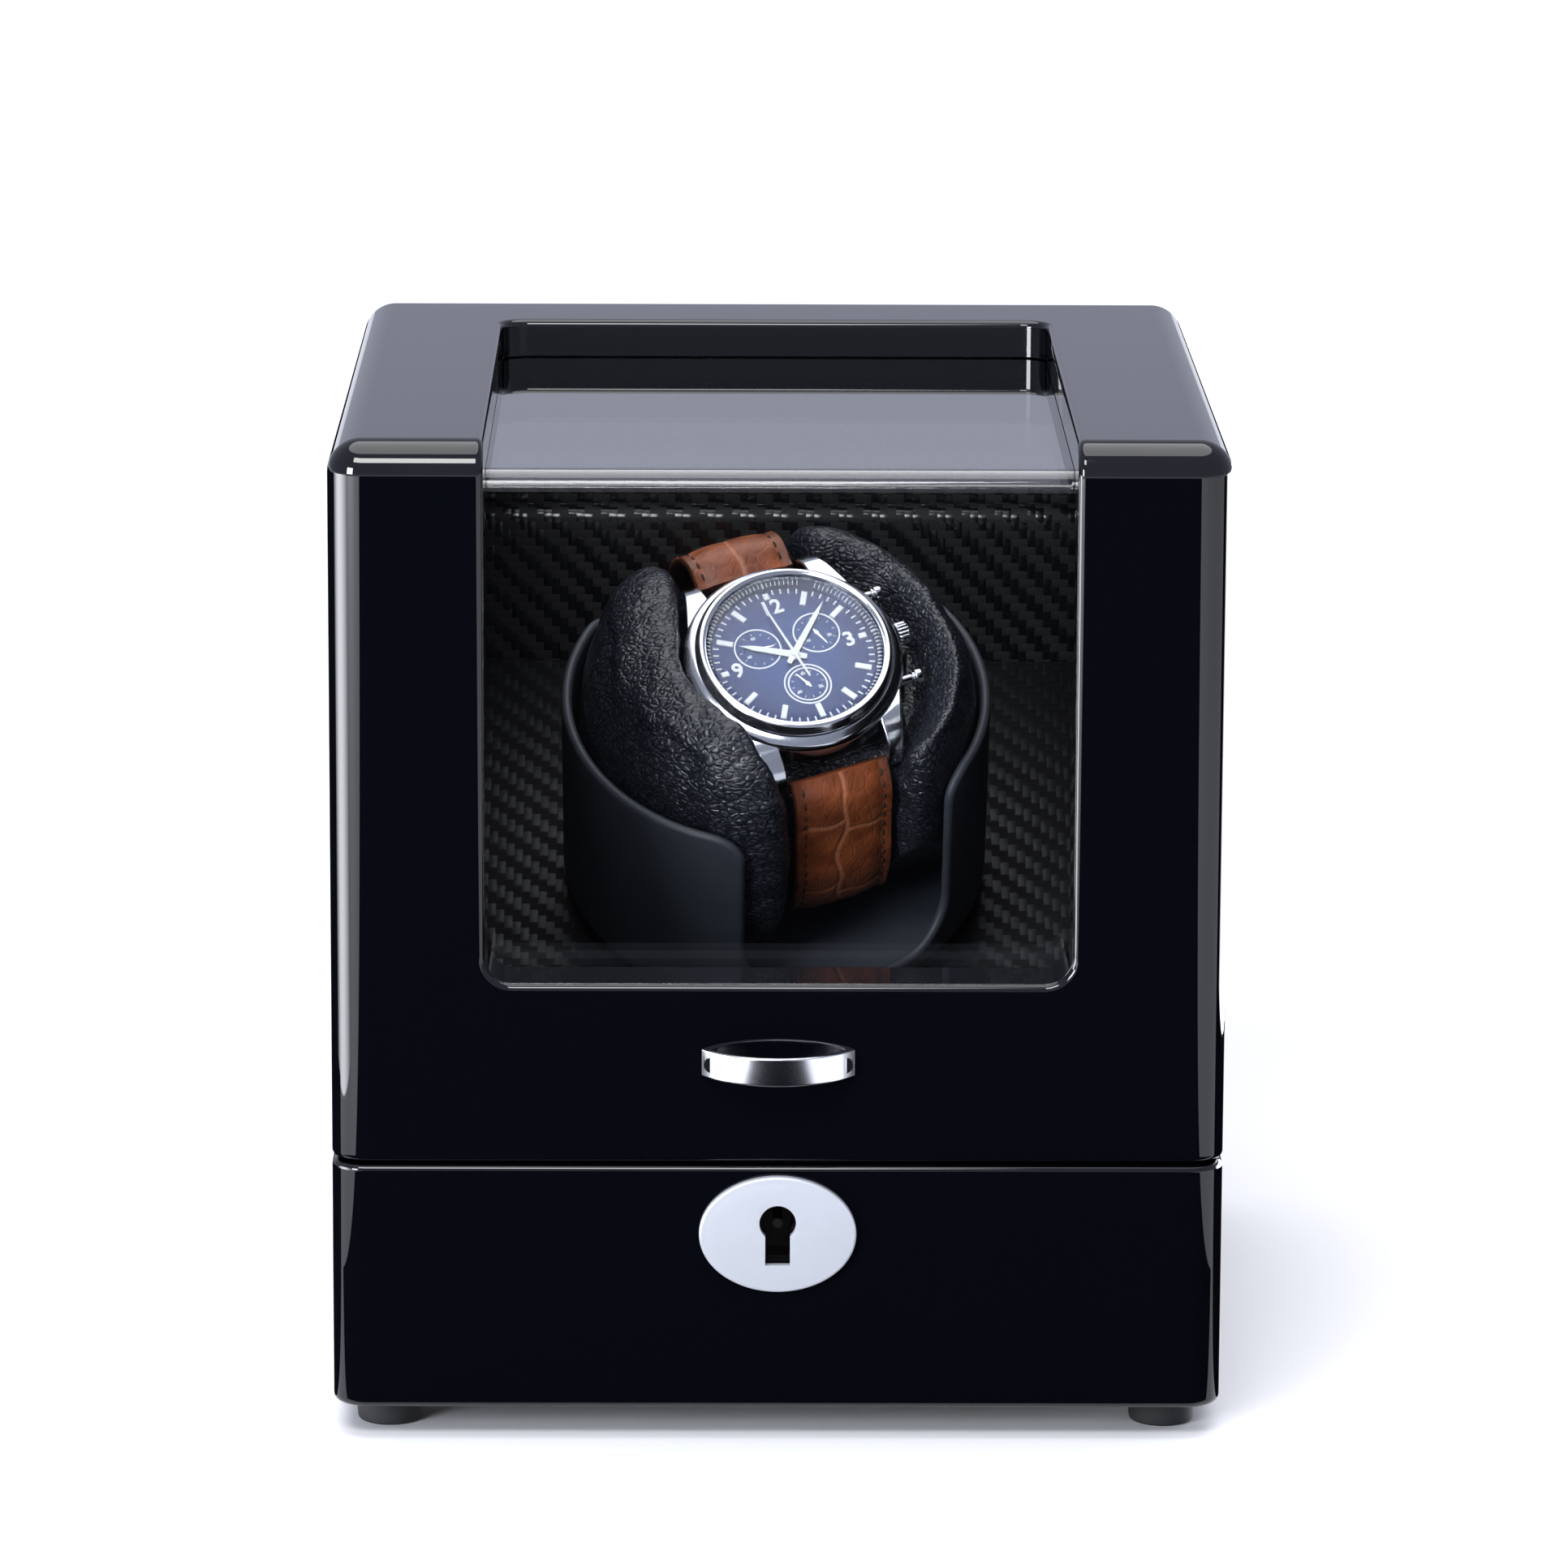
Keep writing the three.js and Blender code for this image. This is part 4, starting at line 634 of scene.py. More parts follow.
def bevel_edges(target, chosen, width, segments=3):
    """Rounds the edges for which chosen(edge) is true."""
    same_point = 1e-4
    bm = bmesh.new()
    bm.from_mesh(target.data)
    bmesh.ops.remove_doubles(bm, verts=bm.verts, dist=same_point)
    edges = [e for e in bm.edges if e.is_manifold and chosen(e)]
    bmesh.ops.bevel(bm, geom=edges, offset=width, offset_type="OFFSET", segments=segments, profile=0.5,
                    affect="EDGES", clamp_overlap=True)
    bm.to_mesh(target.data)
    bm.free()


def sharper_than(degrees):
    limit = math.radians(degrees)
    return lambda edge: edge.calc_face_angle(0) > limit


def shade(target, sharp=35, weighted=False):
    """Smooth shading with sharp edges kept where faces meet at more than an angle."""
    bm = bmesh.new()
    bm.from_mesh(target.data)
    for face in bm.faces:
        face.smooth = True
    for edge in bm.edges:
        edge.smooth = not edge.is_manifold or edge.calc_face_angle(0) < math.radians(sharp)
    bm.to_mesh(target.data)
    bm.free()
    if weighted:
        even = target.modifiers.new("even_normals", "WEIGHTED_NORMAL")
        even.keep_sharp = True
        even.weight = 100


def show(target, body, slot, material, *nodes):
    """Gives a new piece its material and body, and hides the CAD nodes that it stands for. The slot argument
    is not used.
    """
    target.data.materials.clear()
    target.data.materials.append(material)
    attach(target, body)
    if nodes:
        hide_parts(*nodes)


def keep(node, material, bevel_mm):
    """Shows a CAD node as it is, with softened edges and a material."""
    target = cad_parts[node]
    if not target.material_slots:
        target.data.materials.append(material)
    for slot_of in target.material_slots:
        slot_of.material = material
    soften = target.modifiers.new("soften", "BEVEL")
    soften.width = bevel_mm * MM
    soften.segments = 2
    soften.limit_method = "ANGLE"
    soften.angle_limit = math.radians(40)
    even = target.modifiers.new("even_normals", "WEIGHTED_NORMAL")
    even.keep_sharp = True


# ---------- lacquered shells ----------
def rounded_body(z0, z1, bottom_r, top_r, steps=12):
    """The box's outline with round upright corners and round lower and upper edges."""
    least_radius = 0.02
    rows = []

    def ring(inset, z):
        radius = max(CORNER_R - inset, least_radius)
        rows.append([(x, y, z) for x, y in rounded_ring(HALF_W - inset, HALF_D - inset, radius, steps)])

    for i in range(steps + 1):
        angle = math.pi / 2 * i / steps
        ring(bottom_r * (1 - math.sin(angle)), z0 + bottom_r * (1 - math.cos(angle)))
    for i in range(steps + 1):
        angle = math.pi / 2 * i / steps
        ring(top_r * (1 - math.cos(angle)), z1 - top_r * (1 - math.sin(angle)))
    return skin(rows)


def window_cutters():
    """Prisms that open the front and the top of the lid."""
    outside = 20
    steps = 8
    upright = rounded_ring(WINDOW_HALF_W, LID_TOP - WINDOW_SILL, WINDOW_CORNER_R, steps)
    level = rounded_ring(WINDOW_HALF_W, WINDOW_BACK - BOX_FRONT, WINDOW_CORNER_R, steps)
    front = [(x, LID_TOP + z) for x, z in upright]
    top = [(x, BOX_FRONT + y) for x, y in level]
    return [
        prism(front, BOX_FRONT - outside, BOX_FRONT + FRONT_WALL + OVERCUT, "Y"),
        prism(top, LID_TOP - TOP_RAIL - OVERCUT, LID_TOP + outside, "Z"),
    ]


def hinge_pockets(z0, z1, knuckle_z0, knuckle_z1):
    """Room for each hinge's leaf, and for its knuckles behind the leaf."""
    back = HALF_D + OVERCUT
    pockets = []
    for side in (-1, 1):
        x0 = side * HINGE_X - HINGE_HALF_L
        x1 = side * HINGE_X + HINGE_HALF_L
        pockets.append(block((x0 - GAP, LEAF_FRONT, z0), (x1 + GAP, back, z1)))
        pockets.append(block((x0 - KNUCKLE_ROOM, KNUCKLE_FRONT, knuckle_z0),
                             (x1 + KNUCKLE_ROOM, back, knuckle_z1)))
    return pockets


def on_lid_skin(point):
    """True for a point on the lid's outer skin."""
    tolerance = 0.06
    reach = Vector((
        max(abs(point.x) - (HALF_W - CORNER_R), 0),
        max(abs(point.y) - (HALF_D - CORNER_R), 0),
        max(point.z - (LID_TOP - CORNER_R), 0),
    ))
    return abs(reach.length - CORNER_R) < tolerance


def window_edge(edge):
    """An outer edge of the window opening."""
    if edge.calc_face_angle(0) < math.radians(35):
        return False
    slack = 0.1
    for vert in edge.verts:
        point = vert.co
        beside = abs(point.x) < WINDOW_HALF_W + slack
        in_window = beside and point.y < WINDOW_BACK + slack and point.z > WINDOW_SILL - slack
        if not in_window or not on_lid_skin(point):
            return False
    return True


def lid_shell():
    """The lacquered lid: open below, with its window and its cuts for hinges, handle and strike plate."""
    z0 = LID_LOW.z / MM
    lid = make_object("lid_shell_lacquered", [rounded_body(z0, LID_TOP, SEAM_R, CORNER_R)])
    inner_w = HALF_W - WALL
    inner_back = HALF_D - WALL
    leaf_top = z0 + LEAF_T + GAP
    plate_half_w = 13.3
    bolt_half_w = 8.5
    bolt_depth = 8
    stud_hole = circle(1.8)
    studs = []
    for side in (-1, 1):
        hole = [(side * STUD_X + x, HANDLE_Z + z) for x, z in stud_hole]
        studs.append(prism(hole, BOX_FRONT - OVERCUT, BOX_FRONT + FRONT_WALL + OVERCUT, "Y"))
    booled(lid, [
        block((-inner_w, BOX_FRONT + FRONT_WALL, -OVERCUT), (inner_w, inner_back, LID_TOP - TOP_RAIL)),
        *window_cutters(),
        block((-plate_half_w, BOLT_Y - 3.8, 0), (plate_half_w, BOLT_Y + 2.8, leaf_top)),
        block((-bolt_half_w, BOLT_Y - 2.8, 0), (bolt_half_w, BOLT_Y + 2, z0 + bolt_depth)),
        *studs,
        *hinge_pockets(z0 - OVERCUT, leaf_top, z0 - OVERCUT, KNUCKLE_HIGH),
    ])
    bevel_edges(lid, window_edge, WINDOW_EDGE_R, 4)
    lid.data.transform(IN_BOX)
    shade(lid, 30, weighted=True)
    show(lid, "lid", "lacquer", LACQUER, "lid_shell")


def keyhole_outline(radius, slot_half_w, bottom):
    """A round hole with a slot below it, in XZ about the middle of the round."""
    half_angle = math.degrees(math.asin(slot_half_w / radius))
    outline = arc(0, 0, radius, half_angle - 90, 270 - half_angle, 36)
    return [*outline, (-slot_half_w, bottom), (slot_half_w, bottom)]


def base_shell():
    """The lacquered base: a frame with a lock pocket, a rear bay, hinge pockets and corner blocks."""
    z0 = BASE_LOW.z / MM
    z1 = BASE_HIGH.z / MM
    base = make_object("base_shell_lacquered", [rounded_body(z0, z1, BOTTOM_R, SEAM_R)])
    inner_w = HALF_W - WALL
    inner_back = HALF_D - WALL
    above = z1 + OVERCUT
    pocket_half_w = 17
    pocket_front = BOX_FRONT + 5.2
    pocket_bottom = 28
    bay_half_w = 40
    bay_half_h = 16
    bay_z = 31
    keyhole = [(x, KEYHOLE_Z + z) for x, z in keyhole_outline(4, 2.8, -8.5)]
    bay = [(x, bay_z + z) for x, z in rounded_ring(bay_half_w, bay_half_h, 2, 6)]
    booled(base, [
        block((-inner_w, BOX_FRONT + WALL, z0 - OVERCUT), (inner_w, inner_back, above)),
        prism(keyhole, BOX_FRONT - OVERCUT, BOX_FRONT + 6.5, "Y"),
        block((-pocket_half_w, pocket_front, pocket_bottom),
              (pocket_half_w, BOX_FRONT + WALL + OVERCUT, above)),
        prism(bay, inner_back - OVERCUT, HALF_D + OVERCUT, "Y"),
        *hinge_pockets(z1 - LEAF_T - GAP, above, KNUCKLE_LOW, above),
    ])
    block_side = 14
    block_bottom = 12.8
    block_top = 20
    sunk = 0.5  # how far a corner block runs into the walls
    half = block_side / 2 + sunk
    blocks = []
    for sx in (-1, 1):
        for sy in (-1, 1):
            x = sx * (inner_w - block_side / 2) + sx * sunk
            y = sy * (inner_back - block_side / 2) + sy * sunk
            blocks.append(block((x - half, y - half, block_bottom), (x + half, y + half, block_top)))
    booled(base, blocks, "UNION")

    def bay_rim(edge):
        on_back = all(v.co.y > HALF_D - 0.01 for v in edge.verts)
        beside = all(abs(v.co.x) < bay_half_w + 1 for v in edge.verts)
        level = all(abs(v.co.z - bay_z) < bay_half_h + 1 for v in edge.verts)
        return on_back and beside and level and edge.calc_face_angle(0) > 1

    bevel_edges(base, bay_rim, 0.8, 3)
    base.data.transform(IN_BOX)
    shade(base, 30, weighted=True)
    show(base, "base", "lacquer", LACQUER, "base_shell")


# ---------- window pane ----------
def lid_window():
    """One bent acrylic sheet: up behind the front frame and back under the top frame."""
    low, high = corners_mm("lid_window")
    front = from_middle(low.y)
    back = from_middle(high.y)
    top = high.z
    outer = arc(front + PANE_BEND_R, top - PANE_BEND_R, PANE_BEND_R, 90, 180, 14)
    inner = arc(front + PANE_BEND_R, top - PANE_BEND_R, PANE_BEND_R - PANE_T, 180, 90, 14)
    outline = [(back, top), *outer, (front, low.z), (front + PANE_T, low.z), *inner, (back, top - PANE_T)]
    pane = make_object("lid_window_pane", [prism(outline, low.x, high.x, "X")])
    bevel_edges(pane, sharper_than(60), 0.25, 2)
    pane.data.transform(IN_BOX)
    shade(pane, 30, weighted=True)
    show(pane, "lid", "acrylic", ACRYLIC, "lid_window")


# ---------- lining boards ----------
def wrapped_board(name, outline, half_w, body, node, edge_r=1.6):
    """A leatherette-wrapped board: a YZ outline carried along X with rolled side edges."""
    outline = np.array(outline, float)
    closed = np.vstack([outline, outline[:1]])
    run = np.concatenate([[0], np.cumsum(np.linalg.norm(np.diff(closed, axis=0), axis=1))])[:-1]
    centre = outline.mean(axis=0)
    rows = []
    across = []
    steps = 6
    for i in range(2 * steps + 2):
        side = -1 if i <= steps else 1
        angle = math.pi / 2 * (i if i <= steps else 2 * steps + 1 - i) / steps
        inset = edge_r * (1 - math.sin(angle))
        x = side * (half_w - edge_r * (1 - math.cos(angle)))
        shrunk = outline - np.sign(outline - centre) * np.minimum(np.abs(outline - centre), inset * 0.5)
        rows.append([(x, y, z) for y, z in shrunk])
        across.append(x)
    board = make_object(name, [skin(rows)], IN_BOX)
    weave = board.data.uv_layers.new(name="weave")
    around = len(outline)
    for loop in board.data.loops:
        row, column = divmod(loop.vertex_index, around)
        weave.data[loop.index].uv = (across[row] * MM, run[column] * MM)
    shade(board, 50)
    show(board, body, "carbon_leatherette", BOARD_CARBON, node)


def back_board():
    """The board behind the cup, its top rolled over in a half circle."""
    low, high = corners_mm("housing_back_board")
    front = from_middle(low.y)
    back = from_middle(high.y)
    roll = (back - front) / 2
    rise = [(front, z) for z in np.linspace(low.z, high.z - roll, 30)]
    rolled = arc(front + roll, high.z - roll, roll, 180, 0, 24)
    outline = [*rise, *rolled[1:], (back, low.z)]
    wrapped_board("housing_back_board_wrapped", outline, high.x, "base", "housing_back_board")


def back_liner():
    """The lid's lined back, with a bead along its top."""
    low, high = corners_mm("lid_back_liner")
    front = from_middle(low.y)
    back = from_middle(high.y)
    bead = 1.7
    rise = [(front, z) for z in np.linspace(low.z, high.z - 2 * bead, 30)]
    rolled = arc(back - bead, high.z - bead, bead, 235, 0, 20)
    outline = [*rise, *rolled, (back, low.z)]
    wrapped_board("lid_back_liner_wrapped", outline, high.x, "lid", "lid_back_liner", 0.6)


# ---------- handle, lock and feet ----------
def lid_handle():
    """A chrome strip bowed out from the lid, with its two studs."""
    low, high = corners_mm("lid_handle")
    half_w = high.x
    bow = BOX_FRONT - from_middle(low.y)
    radius = (half_w**2 + bow**2) / (2 * bow)
    sweep = math.asin(half_w / radius)
    thickness = 1.4
    edge_r = 0.35
    height = high.z - low.z
    middle_z = (low.z + high.z) / 2
    section = rounded_ring(thickness / 2, height / 2, edge_r, 4)
    centre = Vector((0, BOX_FRONT - bow + radius, middle_z))
    rows = []
    for turn in np.linspace(-sweep, sweep, 65):
        out = Vector((math.sin(turn), -math.cos(turn), 0))
        row = [centre + out * (radius - thickness / 2 + dx) + Vector((0, 0, dz)) for dx, dz in section]
        rows.append([tuple(point) for point in row])
    strip = make_object("lid_handle_bow", [skin(rows)])
    booled(strip, [block((-30, BOX_FRONT - 0.05, 0), (30, 0, 200))])
    stud_front = BOX_FRONT - 2.2
    stud_back = BOX_FRONT + FRONT_WALL + 2.6
    studs = []
    for side in (-1, 1):
        outline = [(side * STUD_X + x, middle_z + z) for x, z in circle(1.5)]
        studs.append(prism(outline, stud_front, stud_back, "Y"))
    booled(strip, studs, "UNION")
    strip.data.transform(IN_BOX)
    shade(strip, 35, weighted=True)
    show(strip, "lid", "chrome", CHROME, "lid_handle")


def lock_escutcheon():
    """An oval plate with a softly domed face and a keyhole."""
    low, high = corners_mm("lock_escutcheon")
    half_w = high.x
    half_h = (high.z - low.z) / 2
    middle_z = (high.z + low.z) / 2
    back = BOX_FRONT - 0.1
    thick = back - from_middle(low.y)
    lip = 0.55
    dome = 0.35
    dome_edge = 1.2
    dome_reach = 9.4
    face = back - (thick - dome)
    angles = np.linspace(0, 2 * math.pi, 128, endpoint=False)

    def ring(inset, y):
        w = half_w - inset
        h = half_h - inset
        return [(w * math.cos(a), y, middle_z + h * math.sin(a)) for a in angles]

    rows = [ring(0, back)]
    for angle in np.linspace(0, math.pi / 2, 7):
        rows.append(ring(lip * (1 - math.cos(angle)), face + lip - lip * math.sin(angle)))
    rows.append(ring(dome_edge, face))
    for inset in (1.4, 3, 5, 7, 9, 10):
        rise = 1 - ((dome_reach + 1 - inset) / dome_reach) ** 2
        rows.append(ring(inset, face - dome * rise))
    plate = make_object("lock_escutcheon_plate", [skin(rows)])
    hole = [(x, KEYHOLE_Z + z) for x, z in keyhole_outline(3.4, 2.3, -8)]
    booled(plate, [prism(hole, back - thick - 2, back + 2, "Y")])

    def keyhole_rim(edge):
        near = all(math.hypot(v.co.x, v.co.z - KEYHOLE_Z + 3) < 7 and v.co.y < back - 0.5 for v in edge.verts)
        return near and edge.calc_face_angle(0) > 1.0

    bevel_edges(plate, keyhole_rim, 0.22, 3)
    plate.data.transform(IN_BOX)
    shade(plate, 32)
    show(plate, "base", "satin_chrome", SATIN_CHROME, "lock_escutcheon")


def feet():
    """Rubber feet with a round recess below."""
    recess_r = 2.4
    recess_h = 2.6
    for corner in CORNERS:
        low, high = corners_mm(f"foot_{corner}")
        radius = (high.x - low.x) / 2
        top = high.z
        profile = [
            (0.6, recess_h), (recess_r, recess_h), (recess_r, 0.9), *arc(3.1, 0.6, 0.6, 180, 270, 5),
            *arc(radius - 1.2, 0.8, 0.8, 270, 350, 6),
            *arc(radius - 0.7, top - 0.7, 0.7, 0, 90, 6), (0.6, top),
        ]
        middle = Matrix.Translation(((low.x + high.x) / 2, from_middle((low.y + high.y) / 2), 0))
        foot = make_object(f"foot_{corner}_moulded", [moved(turned(profile, 64), middle)], IN_BOX)
        shade(foot, 40)
        show(foot, "base", "rubber", RUBBER, f"foot_{corner}")


# ---------- cup ----------
def cutout_strings():
    """Columns of the cup's wall, from 6 o'clock round to 12 o'clock by 3 o'clock.

    Each is (base run, rim-edge run, edge height, outward run, outward rise): runs are lengths round
    the outside, and the outward pair is the direction from the wall into the opening.
    """
    quarter = math.pi / 2 * CUP_R
    floor_half = CUTOUT_HALF_W - CUTOUT_LOWER_R
    outline = []
    for x in np.linspace(0, floor_half, 8, endpoint=False):
        outline.append((x, -CUTOUT_DEPTH, 0, 1))
    arc_top = CUTOUT_LOWER_R - CUTOUT_DEPTH
    for x, t in arc(floor_half, arc_top, CUTOUT_LOWER_R, -90, 0, 14):
        outline.append((x, t, (floor_half - x) / CUTOUT_LOWER_R, (arc_top - t) / CUTOUT_LOWER_R))
    for t in np.linspace(arc_top, -CUTOUT_UPPER_R, 16)[1:-1]:
        outline.append((CUTOUT_HALF_W, t, -1, 0))
    shoulder = CUTOUT_HALF_W + CUTOUT_UPPER_R
    for x, t in arc(shoulder, -CUTOUT_UPPER_R, CUTOUT_UPPER_R, 180, 90, 12):
        outline.append((x, t, (x - shoulder) / CUTOUT_UPPER_R, (t + CUTOUT_UPPER_R) / CUTOUT_UPPER_R))
    corner_run = CUP_R * math.asin(CUTOUT_HALF_W / CUP_R) + 1.5
    side_run = corner_run + 15
    shoulder_run = side_run + 5
    strings = []
    for x, t, out_x, out_t in outline:
        run = CUP_R * math.asin(x / CUP_R)
        if x <= floor_half:
            base = run
        elif t <= arc_top:
            share = max((t + CUTOUT_DEPTH) / CUTOUT_LOWER_R, (x - floor_half) / CUTOUT_LOWER_R * 0.7)
            base = floor_half + (corner_run - floor_half) * share
        elif t <= -CUTOUT_UPPER_R:
            share = (t - CUTOUT_LOWER_R + CUTOUT_DEPTH) / (CUTOUT_DEPTH - CUTOUT_LOWER_R - CUTOUT_UPPER_R)
            base = corner_run + (side_run - corner_run) * share
        else:
            share = max((t + CUTOUT_UPPER_R) / CUTOUT_UPPER_R, (x - CUTOUT_HALF_W) / CUTOUT_UPPER_R)
            base = side_run + (shoulder_run - side_run) * share
        strings.append((base, run, t, out_x, out_t))
    rim_start = strings[-1][1]
    for share in np.linspace(0, 1, 20)[1:]:
        base = shoulder_run + (quarter - shoulder_run) * share
        strings.append((base, rim_start + (quarter - rim_start) * share, 0.0, 0, 1))
    for base, run, t, out_x, out_t in list(reversed(strings))[1:]:
        strings.append((2 * quarter - base, 2 * quarter - run, t, -out_x, out_t))
    return strings


def rotor_cup():
    """A moulded cup with a U-shaped opening at 6 and 12 o'clock and a fully rounded edge."""
    half_wall = CUP_WALL / 2
    mid_r = CUP_R - half_wall
    floor_top = -CUP_DEPTH + CUP_FLOOR_T
    half_run = math.pi * CUP_R
    half = cutout_strings()
    other = [(base + half_run, run + half_run, *rest) for base, run, *rest in half[1:-1]]
    bore_r = 3.2
    hub_r = 8
    hub_h = 2
    heel_r = 2.5
    fillet_r = 1.0
    wall_low = -CUP_DEPTH + 3.2
    wall_low_inside = floor_top + fillet_r
    columns = []
    for base, run, t, out_x, out_t in half + other:
        base_angle = base / CUP_R - math.pi / 2
        column = []

        def add(radius, angle, height):
            column.append((radius * math.cos(angle), radius * math.sin(angle), height))

        edge_run = run - out_x * half_wall
        edge_t = t - out_t * half_wall
        add(bore_r, base_angle, -CUP_DEPTH)
        add(CUP_R - 8, base_angle, -CUP_DEPTH)
        for r, z in arc(CUP_R - heel_r, -CUP_DEPTH + heel_r, heel_r, -90, 0, 6):
            add(r, base_angle, z)
        steps = 12
        for i in range(steps + 1):
            share = i / steps
            angle = (base + (edge_run - base) * share) / CUP_R - math.pi / 2
            add(CUP_R, angle, wall_low + (edge_t - wall_low) * share)
        for turn in np.linspace(0, math.pi, 9)[1:-1]:
            bulge = half_wall * math.sin(turn)
            angle = (edge_run + out_x * bulge) / CUP_R - math.pi / 2
            add(mid_r + half_wall * math.cos(turn), angle, edge_t + out_t * bulge)
        for i in range(steps, -1, -1):
            share = i / steps
            angle = (base + (edge_run - base) * share) / CUP_R - math.pi / 2
            add(CUP_R - CUP_WALL, angle, wall_low_inside + (edge_t - wall_low_inside) * share)
        for r, z in arc(CUP_R - CUP_WALL - fillet_r, wall_low_inside, fillet_r, 0, -90, 4)[1:]:
            add(r, base_angle, z)
        add(hub_r + 1, base_angle, floor_top)
        add(hub_r, base_angle, floor_top)
        add(hub_r, base_angle, floor_top + hub_h)
        add(bore_r, base_angle, floor_top + hub_h)
        columns.append(column)
    rows = np.array(columns).transpose(1, 0, 2)
    cup = make_object("rotor_cup_moulded", [skin(rows, wrap=True)], IN_ROTOR)
    shade(cup, 40)
    show(cup, "rotor", "soft_touch_plastic", SOFT_TOUCH, "rotor_cup")


# ---------- cushion ----------
def cushion_section(across):
    """Back and front reach, top and bottom of the pillow at a distance across the watch."""
    edge = min(abs(across) / CUSHION_R, 1)
    plan = CUSHION_R * math.sqrt(max(1 - edge**2, 0))
    crown = (1 - edge**3.4) ** 0.52
    top = CUSHION_TOP * crown - 4 * (1 - crown)
    full = (-plan, plan, top, CUSHION_BOTTOM + 8 * (1 - crown))
    groove = (-25.8, 33.3, GROOVE_TOP, -33.5)
    into_lobe = abs(across - WATCH_CENTRE[0]) - GROOVE_HALF_W
    fillet = 5.5
    if into_lobe <= 0:
        return groove
    share = 1 if into_lobe >= fillet else math.sqrt(1 - (1 - into_lobe / fillet) ** 2)
    return tuple(g + (f - g) * share for g, f in zip(groove, full))


def cushion_form():
    """The pillow before it is stuffed, as rings round the direction across the watch."""
    lobe_starts = [0, 0.3, 0.9, 1.8, 3, 4.4, 5.6]
    right = [WATCH_CENTRE[0] + GROOVE_HALF_W + d for d in lobe_starts]
    left = [WATCH_CENTRE[0] - GROOVE_HALF_W - d for d in lobe_starts]
    outer = [21, 24, 27, 30, 32.5, 34.5, 36, 37.2, 38]
    squareness = 0.62
    stations = sorted([*left, *right, WATCH_CENTRE[0], -18, *outer, *(-x for x in outer)])
    rows = []
    for across in stations:
        front, back, top, bottom = cushion_section(across)
        middle_v = (front + back) / 2
        middle_a = (top + bottom) / 2
        ring = []
        for angle in np.linspace(0, 2 * math.pi, 72, endpoint=False):
            c = math.copysign(abs(math.cos(angle)) ** squareness, math.cos(angle))
            s = math.copysign(abs(math.sin(angle)) ** squareness, math.sin(angle))
            ring.append((across, middle_v + c * (back - middle_v), middle_a + s * (top - middle_a)))
        rows.append(ring)
    return skin(rows)


def lower_of(first, second):
    """The lower of two heights, rounded off where they cross."""
    blend = 6
    share = max(blend - abs(first - second), 0) / blend
    return min(first, second) - share**2 * blend / 4


def clear_of_neighbours(point):
    """Moves a point of the cushion, in the rotor's frame, out of the cup, the watch and the strap."""
    case_gap = 0.5
    floor = CASE_BOTTOM - case_gap
    reach = math.hypot(point.x, point.y)
    limit = CUP_R - CUP_WALL - 0.35
    if reach > limit:
        point.x *= limit / reach
        point.y *= limit / reach
    point.z = max(point.z, CUSHION_BOTTOM)
    seen = WATCH_FROM_ROTOR @ point
    span = math.hypot(seen.x, seen.y)
    room = CASE_R + case_gap
    if span < room and seen.z > floor:
        if room - span < seen.z - floor:
            seen.x *= room / max(span, 0.001)
            seen.y *= room / max(span, 0.001)
        else:
            seen.z = floor
        point = ROTOR_FROM_WATCH @ seen
    if seen.x > 0 and span > room:
        ceiling = BUTTON_CLEAR_Z + max(span - BUTTON_REACH, 0) ** 1.25
        seen.z = lower_of(seen.z, ceiling)
        point = ROTOR_FROM_WATCH @ seen
    if point.x > WATCH_CENTRE[0] + GROOVE_HALF_W:
        point.z = max(point.z, RIGHT_LOBE_TIP + RIGHT_LOBE_SWEEP * (point.y + CUSHION_R))
    beside = abs(point.x - WATCH_CENTRE[0])
    if beside < STRAP_W / 2 + 0.5:
        point.y = min(max(point.y, -27.2), 34.0)
        point.z = min(max(point.z, -34.6), 4.0)
    hub_r = 9.6
    hub_top = -38
    if reach < hub_r:
        point.z = max(point.z, hub_top)
    return point


def watch_tools():
    """The room that the watch takes in the cushion, in the rotor's frame."""
    room = CASE_R + 0.5
    floor = CASE_BOTTOM - 0.5
    above = 40
    round_room = turned([(0.5, floor), (room, floor), (room, above), (0.5, above)], 64)
    lug_half = LUG_INNER + LUG_T + 0.7
    tip = LUG_REACH + 0.8
    root = 12
    root_half = lug_half + 4.6
    outline = [
        (lug_half, tip), (-lug_half, tip), (-root_half, root), (-root_half, -root),
        (-lug_half, -tip), (lug_half, -tip), (root_half, -root), (root_half, root),
    ]
    lug_room = prism(outline, CASE_BOTTOM - 1.4, above, "Z")
    return [moved(part, ROTOR_FROM_WATCH) for part in (round_room, lug_room)]


def stuffed(target):
    """Swells the pillow by a short cloth simulation, and caps how far a point may go."""
    rest = np.array([v.co for v in target.data.vertices])
    cloth = target.modifiers.new("stuffing", "CLOTH")
    settings = cloth.settings
    settings.quality = 6
    settings.mass = 0.3
    settings.tension_stiffness = 20
    settings.compression_stiffness = 20
    settings.shear_stiffness = 8
    settings.bending_stiffness = 0.4
    settings.use_pressure = True
    settings.uniform_pressure_force = 4
    settings.shrink_min = -0.03
    settings.effector_weights.gravity = 0
    last = 20
    cloth.point_cache.frame_start = 1
    cloth.point_cache.frame_end = last
    for number in range(1, last + 1):
        SCENE.frame_set(number)
    applied(target)
    SCENE.frame_set(1)
    cap = 0.6 * MM
    for vertex, home in zip(target.data.vertices, rest):
        step = vertex.co - Vector(home)
        if step.length > cap:
            vertex.co = Vector(home) + step.normalized() * cap


